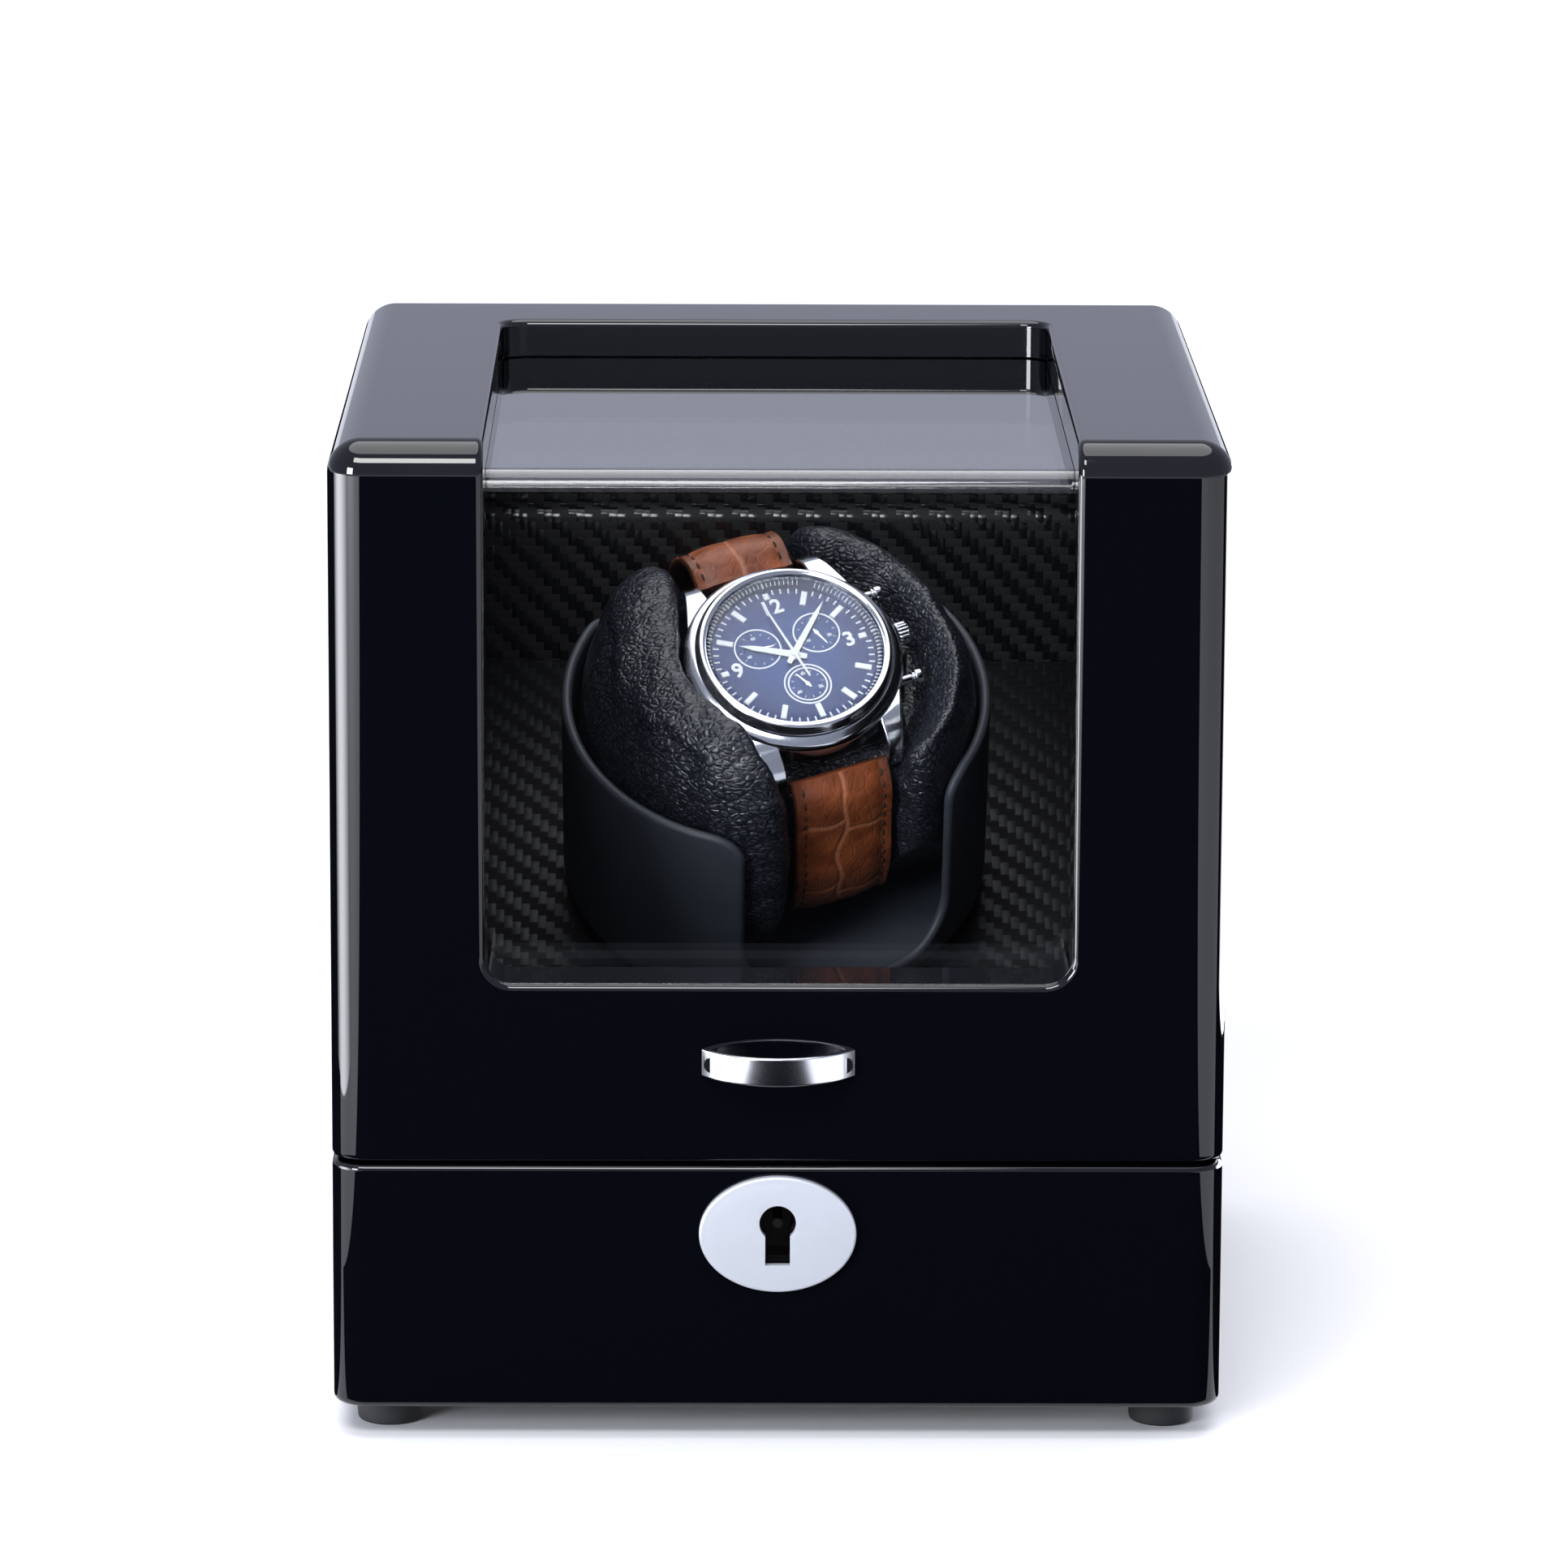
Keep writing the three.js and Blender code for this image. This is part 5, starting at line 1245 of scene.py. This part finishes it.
def wrinkle(point):
    """Shallow folds that run across the cushion, deepest near the watch."""
    from_watch = math.hypot(point.x - WATCH_CENTRE[0], point.y - WATCH_CENTRE[1])
    near = math.exp(-((from_watch - 27) / 9) ** 2)
    folds = noise.noise(Vector((point.x * 0.06, point.y * 0.20, point.z * 0.20)))
    fine = noise.noise(Vector((point.x * 0.32, point.y * 0.32, point.z * 0.32)) + Vector((7, 3, 1)))
    return (0.25 + 0.45 * near) * folds + 0.16 * fine


def watch_cushion():
    """The pillow: its form cut by the watch, remeshed, relaxed, stuffed and wrinkled."""
    pad = make_object("watch_cushion_padded", [cushion_form()])
    booled(pad, watch_tools())
    pad.data.transform(Matrix.Scale(MM, 4))
    remesh = pad.modifiers.new("even_mesh", "REMESH")
    remesh.mode = "VOXEL"
    remesh.voxel_size = 1.6 * MM
    applied(pad)
    for iterations in (6, 5, 2):
        relax = pad.modifiers.new("relax", "SMOOTH")
        relax.factor = 0.5
        relax.iterations = iterations
        applied(pad)
        for vertex in pad.data.vertices:
            vertex.co = clear_of_neighbours(vertex.co / MM) * MM
    stuffed(pad)
    pad.data.transform(Matrix.Scale(1 / MM, 4))
    finer = pad.modifiers.new("finer", "SUBSURF")
    finer.levels = 1
    finer.render_levels = 1
    applied(pad)
    pad.data.update()
    normals = [v.normal.copy() for v in pad.data.vertices]
    for vertex, normal in zip(pad.data.vertices, normals):
        vertex.co = clear_of_neighbours(vertex.co + normal * wrinkle(vertex.co))
    pad.data.transform(IN_ROTOR)
    shade(pad, 180)
    show(pad, "cushion", "grain_leatherette", CUSHION_LEATHER, "watch_cushion")


# ---------- strap ----------
def strap_crease(across, along):
    """Depth share of the embossed creases: one wavering line lengthwise and lines across it."""
    drift = 0.8 * math.sin(along * 0.21) + 0.5 * math.sin(along * 0.53 + 1)
    lengthwise = abs(across + 0.8 - drift)
    side_shift = 0.0 if across + 0.8 > drift else 3.2
    slant = 0.10 * across + 0.5 * math.sin(across * 0.7 + along * 0.05)
    place = (along + side_shift + slant + 4) / SCALE_L
    crosswise = abs(place - round(place)) * SCALE_L
    near = min(lengthwise, crosswise)
    return math.exp(-((near / CREASE_W) ** 2))


def strap_height(across):
    """Height of the padded upper face above the strap's middle line."""
    edge = abs(across) / (STRAP_W / 2)
    seam_height = 0.55
    rim_rise = 0.25
    if edge < STITCH_LINE:
        return seam_height + (STRAP_CROWN - seam_height) * (1 - (edge / STITCH_LINE) ** 4)
    return seam_height + rim_rise * math.sin((edge - STITCH_LINE) / (1 - STITCH_LINE) * math.pi * 0.5) ** 2


def strap_piece(name, route, node, outward):
    """A padded leather band along a route, with embossed scales and two rows of stitches."""
    half = STRAP_W / 2
    spots, ways, runs = smooth_curve(route, 190)
    top_across = np.linspace(-half + 0.35, half - 0.35, 57)
    crease_depth = 0.28
    rows = []
    crease = []
    edge = []
    for (v, a), (dv, da), run in zip(spots, ways, runs):
        out = np.array([-da, dv]) * outward
        row = []
        for across in top_across:
            depth = strap_crease(across, run)
            lift = strap_height(across) - crease_depth * depth
            lift += 0.07 * noise.noise(Vector((across * 0.5, run * 0.5, 3)))
            row.append((WATCH_CENTRE[0] + across, v + out[0] * lift, a + out[1] * lift))
            crease.append(depth if abs(across) < half * 0.8 else 0)
            # The edge weight sets how much painted shade darkens the rim beyond the stitching; the sides and
            # underside below get the full amount.
            edge.append(max(0, (abs(across) / half - 0.8) * 5) * 0.7)
        for across, lift in ((half, 0.3), (half, -0.5), (half - 0.4, -STRAP_UNDER), (0, -STRAP_UNDER),
                             (0.4 - half, -STRAP_UNDER), (-half, -0.5), (-half, 0.3)):
            row.append((WATCH_CENTRE[0] + across, v + out[0] * lift, a + out[1] * lift))
            crease.append(0)
            edge.append(1)
        rows.append(row)
    band = make_object(name, [skin(rows)], IN_ROTOR)
    for label, values in (("crease", crease), ("edge", edge)):
        layer = band.data.attributes.new(label, "FLOAT", "POINT")
        layer.data.foreach_set("value", np.array(values, np.float32))
    shade(band, 60)
    show(band, "cushion", "brown_leather", STRAP_LEATHER, node)

    stitches = []
    pitch = 2.5
    stitch_half = 0.85
    thread_r = 0.24
    for side in (-1, 1):
        across = side * half * 0.80
        for run in np.arange(2.5, runs[-1] - 3, pitch):
            rings = []
            for end in np.linspace(-1, 1, 7):
                here = run + end * stitch_half
                spot = np.array([np.interp(here, runs, spots[:, k]) for k in range(2)])
                way = np.array([np.interp(here, runs, ways[:, k]) for k in range(2)])
                out = np.array([-way[1], way[0]]) * outward
                radius = thread_r * math.sqrt(max(1 - abs(end) ** 3, 0.05))
                lift = strap_height(across) + 0.1 - 0.2 * end**2
                rings.append([
                    (WATCH_CENTRE[0] + across + radius * math.cos(t),
                     spot[0] + out[0] * (lift + radius * math.sin(t)),
                     spot[1] + out[1] * (lift + radius * math.sin(t)))
                    for t in np.linspace(0, 2 * math.pi, 6, endpoint=False)
                ])
            stitches.append(skin(rings))
    seam = make_object(f"{name}_stitching", stitches, IN_ROTOR)
    shade(seam, 60)
    show(seam, "cushion", "brown_leather", THREAD)


# ---------- watch ----------
def watch_case():
    """A polished case with four curved lugs."""
    low = CASE_BOTTOM
    well_z = -0.9
    profile = [
        (0.5, low), (16.6, low), *arc(17, low + 0.6, 0.6, 270, 330, 4), (18.6, low + 1.1),
        *arc(CASE_R - 1.4, low + 4.2, 1.4, 300, 360, 6), *arc(CASE_R - 1.6, -1.6, 1.6, 0, 60, 8),
        (19.4, 0.3), *arc(18.5, 0.0, 0.4, 60, 120, 4), (18.05, 0.1), (18, well_z), (0.5, well_z),
    ]
    case = make_object("watch_case_polished", [turned(profile, 128)])
    lug_outline = [
        (13, low + 1.4), (18, low + 0.6), (22.2, low - 0.7), (23.9, low - 0.5), (LUG_REACH, low + 0.5),
        (LUG_REACH - 0.05, low + 1.7), (23.9, low + 3.6), (22.6, low + 5.3),
        (20.8, -1.9), (18.6, -1.0), (16, -0.8), (13, -0.8),
    ]
    lugs = []
    for end in (0, math.pi):
        for side in (-1, 1):
            verts, faces = prism(lug_outline, 0, 1, "X")
            for vert in verts:
                flank = LUG_INNER + LUG_T + (LUG_REACH - vert[1]) ** 1.25 * LUG_FLARE
                vert[0] = side * (LUG_INNER if vert[0] < 0.5 else flank)
            lug = make_object("lug", [(verts, faces)])
            bevel_edges(lug, sharper_than(40), 0.4, 3)
            lug.data.transform(Matrix.Rotation(end, 4, "Z"))
            verts = [tuple(v.co) for v in lug.data.vertices]
            lugs.append((verts, [tuple(p.vertices) for p in lug.data.polygons]))
            bpy.data.objects.remove(lug)
    booled(case, lugs, "UNION")
    stem_hole = circle(1.3)
    stem_hole_bottom = 14.5
    outside = 30
    holes = []
    for y in (0, PUSHER_OFFSET, -PUSHER_OFFSET):
        outline = [(y + dy, CONTROLS_Z + dz) for dy, dz in stem_hole]
        holes.append(prism(outline, stem_hole_bottom, outside, "X"))
    well_r = 17.98
    well = turned([(0.5, well_z), (well_r, well_z), (well_r, 5), (0.5, 5)], 128)
    booled(case, [*holes, well])
    case.data.transform(IN_WATCH)
    shade(case, 32, weighted=True)
    show(case, "cushion", "watch_steel", WATCH_STEEL, "watch_case")


def watch_bezel():
    """A polished ring round the glass."""
    profile = [
        (GLASS_R, 2.5), (GLASS_R, 0.7), (19.0, 0.7), *arc(18.6, 1.3, 0.5, 0, 50, 5),
        *arc(17.9, 1.9, 0.9, 50, 120, 8), (GLASS_R + 0.1, 2.62),
    ]
    bezel = make_object("watch_bezel_polished", [turned(profile, 128, wrap=True)], IN_WATCH)
    shade(bezel, 40)
    show(bezel, "cushion", "watch_steel", WATCH_STEEL, "watch_bezel")


def watch_crystal():
    """A slightly domed glass with a ground edge."""
    radius = GLASS_R - 0.3
    edge_z = 2.4
    dome_h = 0.55
    dome = [(radius * math.cos(a), edge_z + dome_h * math.sin(a)) for a in np.linspace(0.15, 1.53, 14)[1:]]
    profile = [(0.7, 1.5), (radius - 0.1, 1.5), (radius, 1.6), (radius, edge_z), *dome]
    glass = make_object("watch_crystal_domed", [turned(profile, 128)], IN_WATCH)
    shade(glass, 40)
    show(glass, "cushion", "crystal", CRYSTAL, "watch_crystal")


def clock_point(hour_degrees, radius):
    """A point on the dial at an angle clockwise from 12 o'clock."""
    turn = math.radians(hour_degrees)
    return radius * math.sin(turn), radius * math.cos(turn)


def flat_ring(cx, cy, inner, outer, z0, z1, sides=64):
    return moved(turned([(inner, z0), (outer, z0), (outer, z1), (inner, z1)], sides, wrap=True),
                 Matrix.Translation((cx, cy, 0)))


def marker(hour_degrees, radius, length, width, z0, z1):
    """A bar that points at the dial's middle, with a bevelled top."""
    chamfer = min(0.12, width / 4, z1 / 2)
    rows = []
    for inset, z in ((0, z0), (0, z1 - chamfer), (chamfer, z1)):
        half_w = width / 2 - inset
        half_l = length / 2 - inset
        rectangle = [(-half_w, -half_l), (half_w, -half_l), (half_w, half_l), (-half_w, half_l)]
        rows.append([(x, y, z) for x, y in rectangle])
    x, y = clock_point(hour_degrees, radius)
    turn = Matrix.Rotation(-math.radians(hour_degrees), 4, "Z")
    return moved(skin(rows), Matrix.Translation((x, y, 0)) @ turn)


def numeral(text, size, hour_degrees, radius, centre=(0, 0), height=0.12):
    """A figure on the dial, upright for a reader with 12 o'clock at the top."""
    curve = bpy.data.curves.new("numeral", "FONT")
    curve.body = text
    curve.size = size
    curve.align_x = "CENTER"
    curve.align_y = "CENTER"
    curve.extrude = height / 2
    curve.offset = size * 0.025
    curve.resolution_u = 2
    temp = bpy.data.objects.new("numeral", curve)
    SCENE.collection.objects.link(temp)
    bpy.context.view_layer.update()
    mesh = bpy.data.meshes.new_from_object(temp.evaluated_get(bpy.context.evaluated_depsgraph_get()))
    x, y = clock_point(hour_degrees, radius)
    lift = height / 2 + 0.01
    verts = [(v.co.x + x + centre[0], v.co.y + y + centre[1], v.co.z + lift) for v in mesh.vertices]
    faces = [tuple(p.vertices) for p in mesh.polygons]
    bpy.data.objects.remove(temp)
    return verts, faces


def dial_print():
    """All that stands on the dial: bars, numerals, the minute track and the three small dials' rings."""
    parts = []
    for hour in range(12):
        degrees = hour * 30
        numbered = hour in (0, 3, 9)
        length = 1.5 if numbered else 3.2
        parts.append(marker(degrees, 14.2 if numbered else 13.4, length, 1.15, 0, 0.35))
        if numbered:
            parts.append(numeral(str(hour or 12), 4.5, degrees, 11.5))
    for minute in range(60):
        if minute % 5:
            parts.append(marker(minute * 6, 14.95, 1.1, 0.32, 0, 0.12))
    for degrees, rings, _ in SUBDIALS:
        cx, cy = clock_point(degrees, SUBDIAL_AT)
        for i in range(rings):
            radius = SUBDIAL_R - 0.75 * i
            parts.append(flat_ring(cx, cy, radius - 0.3, radius, 0, 0.12))
        for tick in range(12):
            spot = marker(tick * 30, SUBDIAL_R - 1.15 - 0.5 * (rings - 1), 0.45, 0.14, 0, 0.06)
            parts.append(moved(spot, Matrix.Translation((cx, cy, 0))))
        for tick, text in ((0, "60"), (120, "20"), (240, "40")):
            parts.append(numeral(text, 0.95, tick, SUBDIAL_R - 2.1, (cx, cy), 0.05))
    return parts


def small_hands():
    """A hand and its hub on each small dial."""
    parts = []
    for degrees, _, turn in SUBDIALS:
        cx, cy = clock_point(degrees, SUBDIAL_AT)
        hand = [(-0.17, -0.9), (0.17, -0.9), (0.26, 0), (0.1, 3.1), (-0.1, 3.1), (-0.26, 0)]
        shape = prism(hand, 0.12, 0.2, "Z")
        hub = turned([(0.02, 0.12), (0.45, 0.12), (0.45, 0.22), (0.02, 0.22)], 24)
        here = Matrix.Translation((cx, cy, 0)) @ Matrix.Rotation(-math.radians(turn), 4, "Z")
        parts.extend([moved(shape, here), moved(hub, here)])
    return parts


def outer_scale():
    """Fine generic graduations on the sloping ring round the dial, with a gap in each third."""
    ticks = 120
    parts = []
    for i in range(ticks):
        if 8 < i % (ticks // 3) < 12:
            continue
        length, width = (1.2, 0.3) if i % 10 == 0 else (0.8, 0.17)
        parts.append(marker(i * 360 / ticks, 16.45, length, width, 0.5, 1.0))
    return parts


def watch_dial():
    """The blue dial plate, its sloping outer ring, and everything printed on it."""
    plate_r = 17.55
    plate_z = -0.6
    ring_r = 15.75
    face = [(r, 0) for r in np.linspace(plate_r - 1, 0.3, 18)]
    slope = [(ring_r, 0.02), (17.5, 0.02), (17.5, 1.25), (17.3, 1.3), (ring_r, 0.2)]
    plate = make_object("watch_dial_sunray", [
        turned([(0.3, plate_z), (plate_r, plate_z), (plate_r, 0), *face], 128),
        turned(slope, 128, wrap=True),
    ])
    spread = plate.data.uv_layers.new(name="dial")
    for loop in plate.data.loops:
        point = plate.data.vertices[loop.vertex_index].co
        spread.data[loop.index].uv = (point.x, point.y)
    plate.data.transform(IN_WATCH)
    shade(plate, 30)
    show(plate, "cushion", "dial_blue", DIAL_BLUE, "watch_dial")
    printed = make_object("watch_dial_markers", [*dial_print(), *outer_scale()], IN_WATCH)
    shade(printed, 30)
    show(printed, "cushion", "white_plastic", DIAL_WHITE)
    hands = make_object("watch_small_hands", small_hands(), IN_WATCH)
    shade(hands, 30)
    show(hands, "cushion", "watch_steel", WATCH_STEEL)


def watch_crown():
    """A fluted crown on its stem."""
    sides = 144
    flutes = 18
    flute_depth = 0.14
    profile = [
        (15, 0.9, 0), (21.4, 0.9, 0), (21.45, 1.7, 0), (21.6, 2.05, 0.4), (21.8, 2.12, 1),
        (23.5, 2.12, 1), (23.8, 2.0, 0.4), (24, 1.6, 0), (24.1, 1.1, 0), (24.1, 0.4, 0),
    ]
    rows = []
    for x, radius, share in profile:
        row = []
        for i in range(sides):
            angle = 2 * math.pi * i / sides
            r = radius + share * flute_depth * math.cos(flutes * angle)
            row.append((x, r * math.cos(angle), CONTROLS_Z + r * math.sin(angle)))
        rows.append(row)
    crown = make_object("watch_crown_fluted", [skin(rows)], IN_WATCH)
    shade(crown, 50)
    show(crown, "crown", "watch_steel", WATCH_STEEL, "watch_crown")


def watch_pushers():
    """Two round buttons on stems, each turned from one outline of [radius, distance from the middle]."""
    profile = [
        (0.2, 15), (0.9, 15), (0.9, 20.5), (1.3, 20.55), (1.35, 20.75), (1.15, 20.9), (1.15, 21.1),
        *arc(1.3, 21.3, 0.2, 270, 360, 4), *arc(1.1, 22.2, 0.4, 0, 90, 6), (0.2, 22.6),
    ]
    for name, y in (("start", PUSHER_OFFSET), ("reset", -PUSHER_OFFSET)):
        place = Matrix.Translation((0, y, CONTROLS_Z)) @ Matrix.Rotation(math.pi / 2, 4, "Y")
        pusher = make_object(f"watch_{name}_pusher_turned", [moved(turned(profile, 48), place)], IN_WATCH)
        shade(pusher, 40)
        show(pusher, f"{name}_pusher", "watch_steel", WATCH_STEEL, f"watch_{name}_pusher")


# ---------- everything that keeps its CAD shape ----------
def carried_over():
    """Gives a material and softened edges to every CAD node that stays visible."""
    sides = ("left", "right")
    hands = [f"watch_{name}_hand" for name in ("hour", "minute", "seconds")]
    looks = {
        FIBRE_BOARD: ["base_floor_board"],
        STEEL: [
            "lid_strike_plate", "lock_bolt", "motor_bracket", "gear_motor", "rotor_shaft", "spindle_screw",
            *(f"lid_handle_nut_{side}" for side in sides),
            *(f"hinge_pin_{side}" for side in sides),
            *(f"floor_screw_{corner}" for corner in CORNERS),
        ],
        DARK_STEEL: ["lock_case", "lock_key_post"],
        BRASS: [f"hinge_{part}_leaf_{side}" for part in ("base", "lid") for side in sides],
        CHEEK_CARBON: [f"housing_{side}_cheek" for side in sides],
        DECK_CARBON: ["deck_panel"],
        BLACK_PLASTIC: ["rear_control_panel", "dc_jack", "mode_switch_body", "mode_knob"],
        CIRCUIT: ["control_board"],
        CABLE: ["motor_lead"],
        BRONZE: ["rotor_bearing_bush"],
        RUBBER: ["drive_belt"],
        WHITE_PLASTIC: ["motor_pulley", "rotor_pulley"],
        WATCH_STEEL: ["strap_buckle"],
        DIAL_WHITE: hands,
    }
    for material, names in looks.items():
        for name in names:
            keep(name, material, 0.05 if name in hands else 0.2)


# ---------- studio ----------
def flat_card(name, low, high, z):
    """A level rectangle."""
    mesh = bpy.data.meshes.new(name)
    corners = [(low[0], low[1], z), (high[0], low[1], z), (high[0], high[1], z), (low[0], high[1], z)]
    mesh.from_pydata(corners, [], [(0, 1, 2, 3)])
    card = bpy.data.objects.new(name, mesh)
    SCENE.collection.objects.link(card)
    return card


def studio_floor():
    """A plain pale floor."""
    half = 7.0
    floor = flat_card("studio_floor", (-half, -half), (half, half), 0)
    look = Look("studio_floor", (0.84, 0.84, 0.86), 0.7)
    look.to_shader("Roughness", look.between(look.noise(3, 2), 0.65, 0.75))
    floor.data.materials.append(look.material)


def dark_flags():
    """Black cards round the box that only mirrors see, as a photographer lays them round glossy lacquer."""
    half = 0.19
    side_front = -0.07
    reach = 1.6
    gap = 0.004
    height = 0.002
    x = BASE_HIGH.x + gap
    front = BASE_LOW.y - gap
    back = BASE_HIGH.y + gap
    look = Look("flag_cloth", (0.004, 0.004, 0.005), 0.9, Specular_IOR_Level=0.0)
    look.to_shader("Roughness", look.between(look.noise(60, 2), 0.85, 0.95))
    for name, low, high in (
        ("front", (-half, front - reach), (half, front)),
        ("back", (-x, back), (x, back + reach)),
        ("left", (-x - reach, side_front), (-x, back + reach)),
        ("right", (x, side_front), (x + reach, back + reach)),
    ):
        card = flat_card(f"{name}_flag", low, high, height)
        card.data.materials.append(look.material)
        card.visible_camera = False
        card.visible_diffuse = False
        card.visible_shadow = False
        card.visible_transmission = False


def area_light(name, place, target, size, power, color=(1, 1, 1), mirrored_only=False, spread=180):
    """A rectangular light that faces a target. A spread under 180 degrees keeps it to that side."""
    data = bpy.data.lights.new(name, "AREA")
    data.spread = math.radians(spread)
    data.shape = "RECTANGLE"
    data.size, data.size_y = size
    data.energy = power
    data.color = color
    light = bpy.data.objects.new(name, data)
    light.location = place
    light.rotation_euler = (Vector(target) - Vector(place)).to_track_quat("-Z", "Y").to_euler()
    light.visible_camera = False
    light.visible_diffuse = not mirrored_only
    SCENE.collection.objects.link(light)


def studio_light():
    """Soft light from above and in front, and two strips that only mirrors see beside the front edges."""
    world = bpy.data.worlds.new("studio")
    SCENE.world = world
    world.use_nodes = True
    background = world.node_tree.nodes["Background"]
    background.inputs["Color"].default_value = (0.78, 0.82, 1.0, 1)
    background.inputs["Strength"].default_value = 0.6
    overhead = bpy.data.lights.new("overhead", "SUN")
    overhead.energy = 2.3
    overhead.angle = math.radians(60)
    sun = bpy.data.objects.new("overhead", overhead)
    sun.rotation_euler = (math.radians(-10), 0, 0)
    SCENE.collection.objects.link(sun)
    area_light("front_softbox", (-0.35, -1.3, 1.5), (0, 0, 0.1), (0.9, 0.5), 22)
    area_light("low_front_softbox", (-0.95, -1.2, 0.4), (0, 0, 0.12), (0.5, 0.5), 22, (0.9, 0.95, 1))
    strip_z = 0.08
    strip_h = 0.16
    left_place = (-0.33, -0.14, strip_z)
    left_edge = (BASE_LOW.x, BASE_LOW.y, strip_z)
    area_light("left_strip", left_place, left_edge, (0.26, strip_h), 0.25, (0.92, 0.94, 1), True, 60)
    right_place = (0.30, 0.13, strip_z)
    right_edge = (BASE_HIGH.x, BASE_LOW.y, strip_z)
    area_light("right_strip", right_place, right_edge, (0.34, strip_h), 1.0, (0.92, 0.95, 1), True, 70)


def camera():
    """A long lens in front of the box, a little to the left and well above it."""
    data = bpy.data.cameras.new("camera")
    data.sensor_width = 36
    data.lens = 180.8
    made = bpy.data.objects.new("camera", data)
    made.location = Vector((-13.43, -1491.53, 425.82)) * MM
    target = Vector((1.70, 2.55, 105.96)) * MM
    roll_degrees = 0.255
    aim = (target - made.location).to_track_quat("-Z", "Y").to_matrix().to_4x4()
    roll = Matrix.Rotation(math.radians(roll_degrees), 4, "Z")
    made.rotation_euler = (aim @ roll).to_euler()
    SCENE.collection.objects.link(made)
    SCENE.camera = made


# ---------- build ----------
base_shell()
lid_shell()
lid_window()
back_board()
back_liner()
lid_handle()
lock_escutcheon()
feet()
rotor_cup()
watch_cushion()
strap_piece("strap_upper_leather", UPPER_ROUTE, "strap_upper", 1)
strap_piece("strap_lower_leather", LOWER_ROUTE, "strap_lower", -1)
watch_case()
watch_bezel()
watch_crystal()
watch_dial()
watch_crown()
watch_pushers()
carried_over()
studio_floor()
dark_flags()
studio_light()
camera()
SCENE.view_settings.view_transform = "Standard"
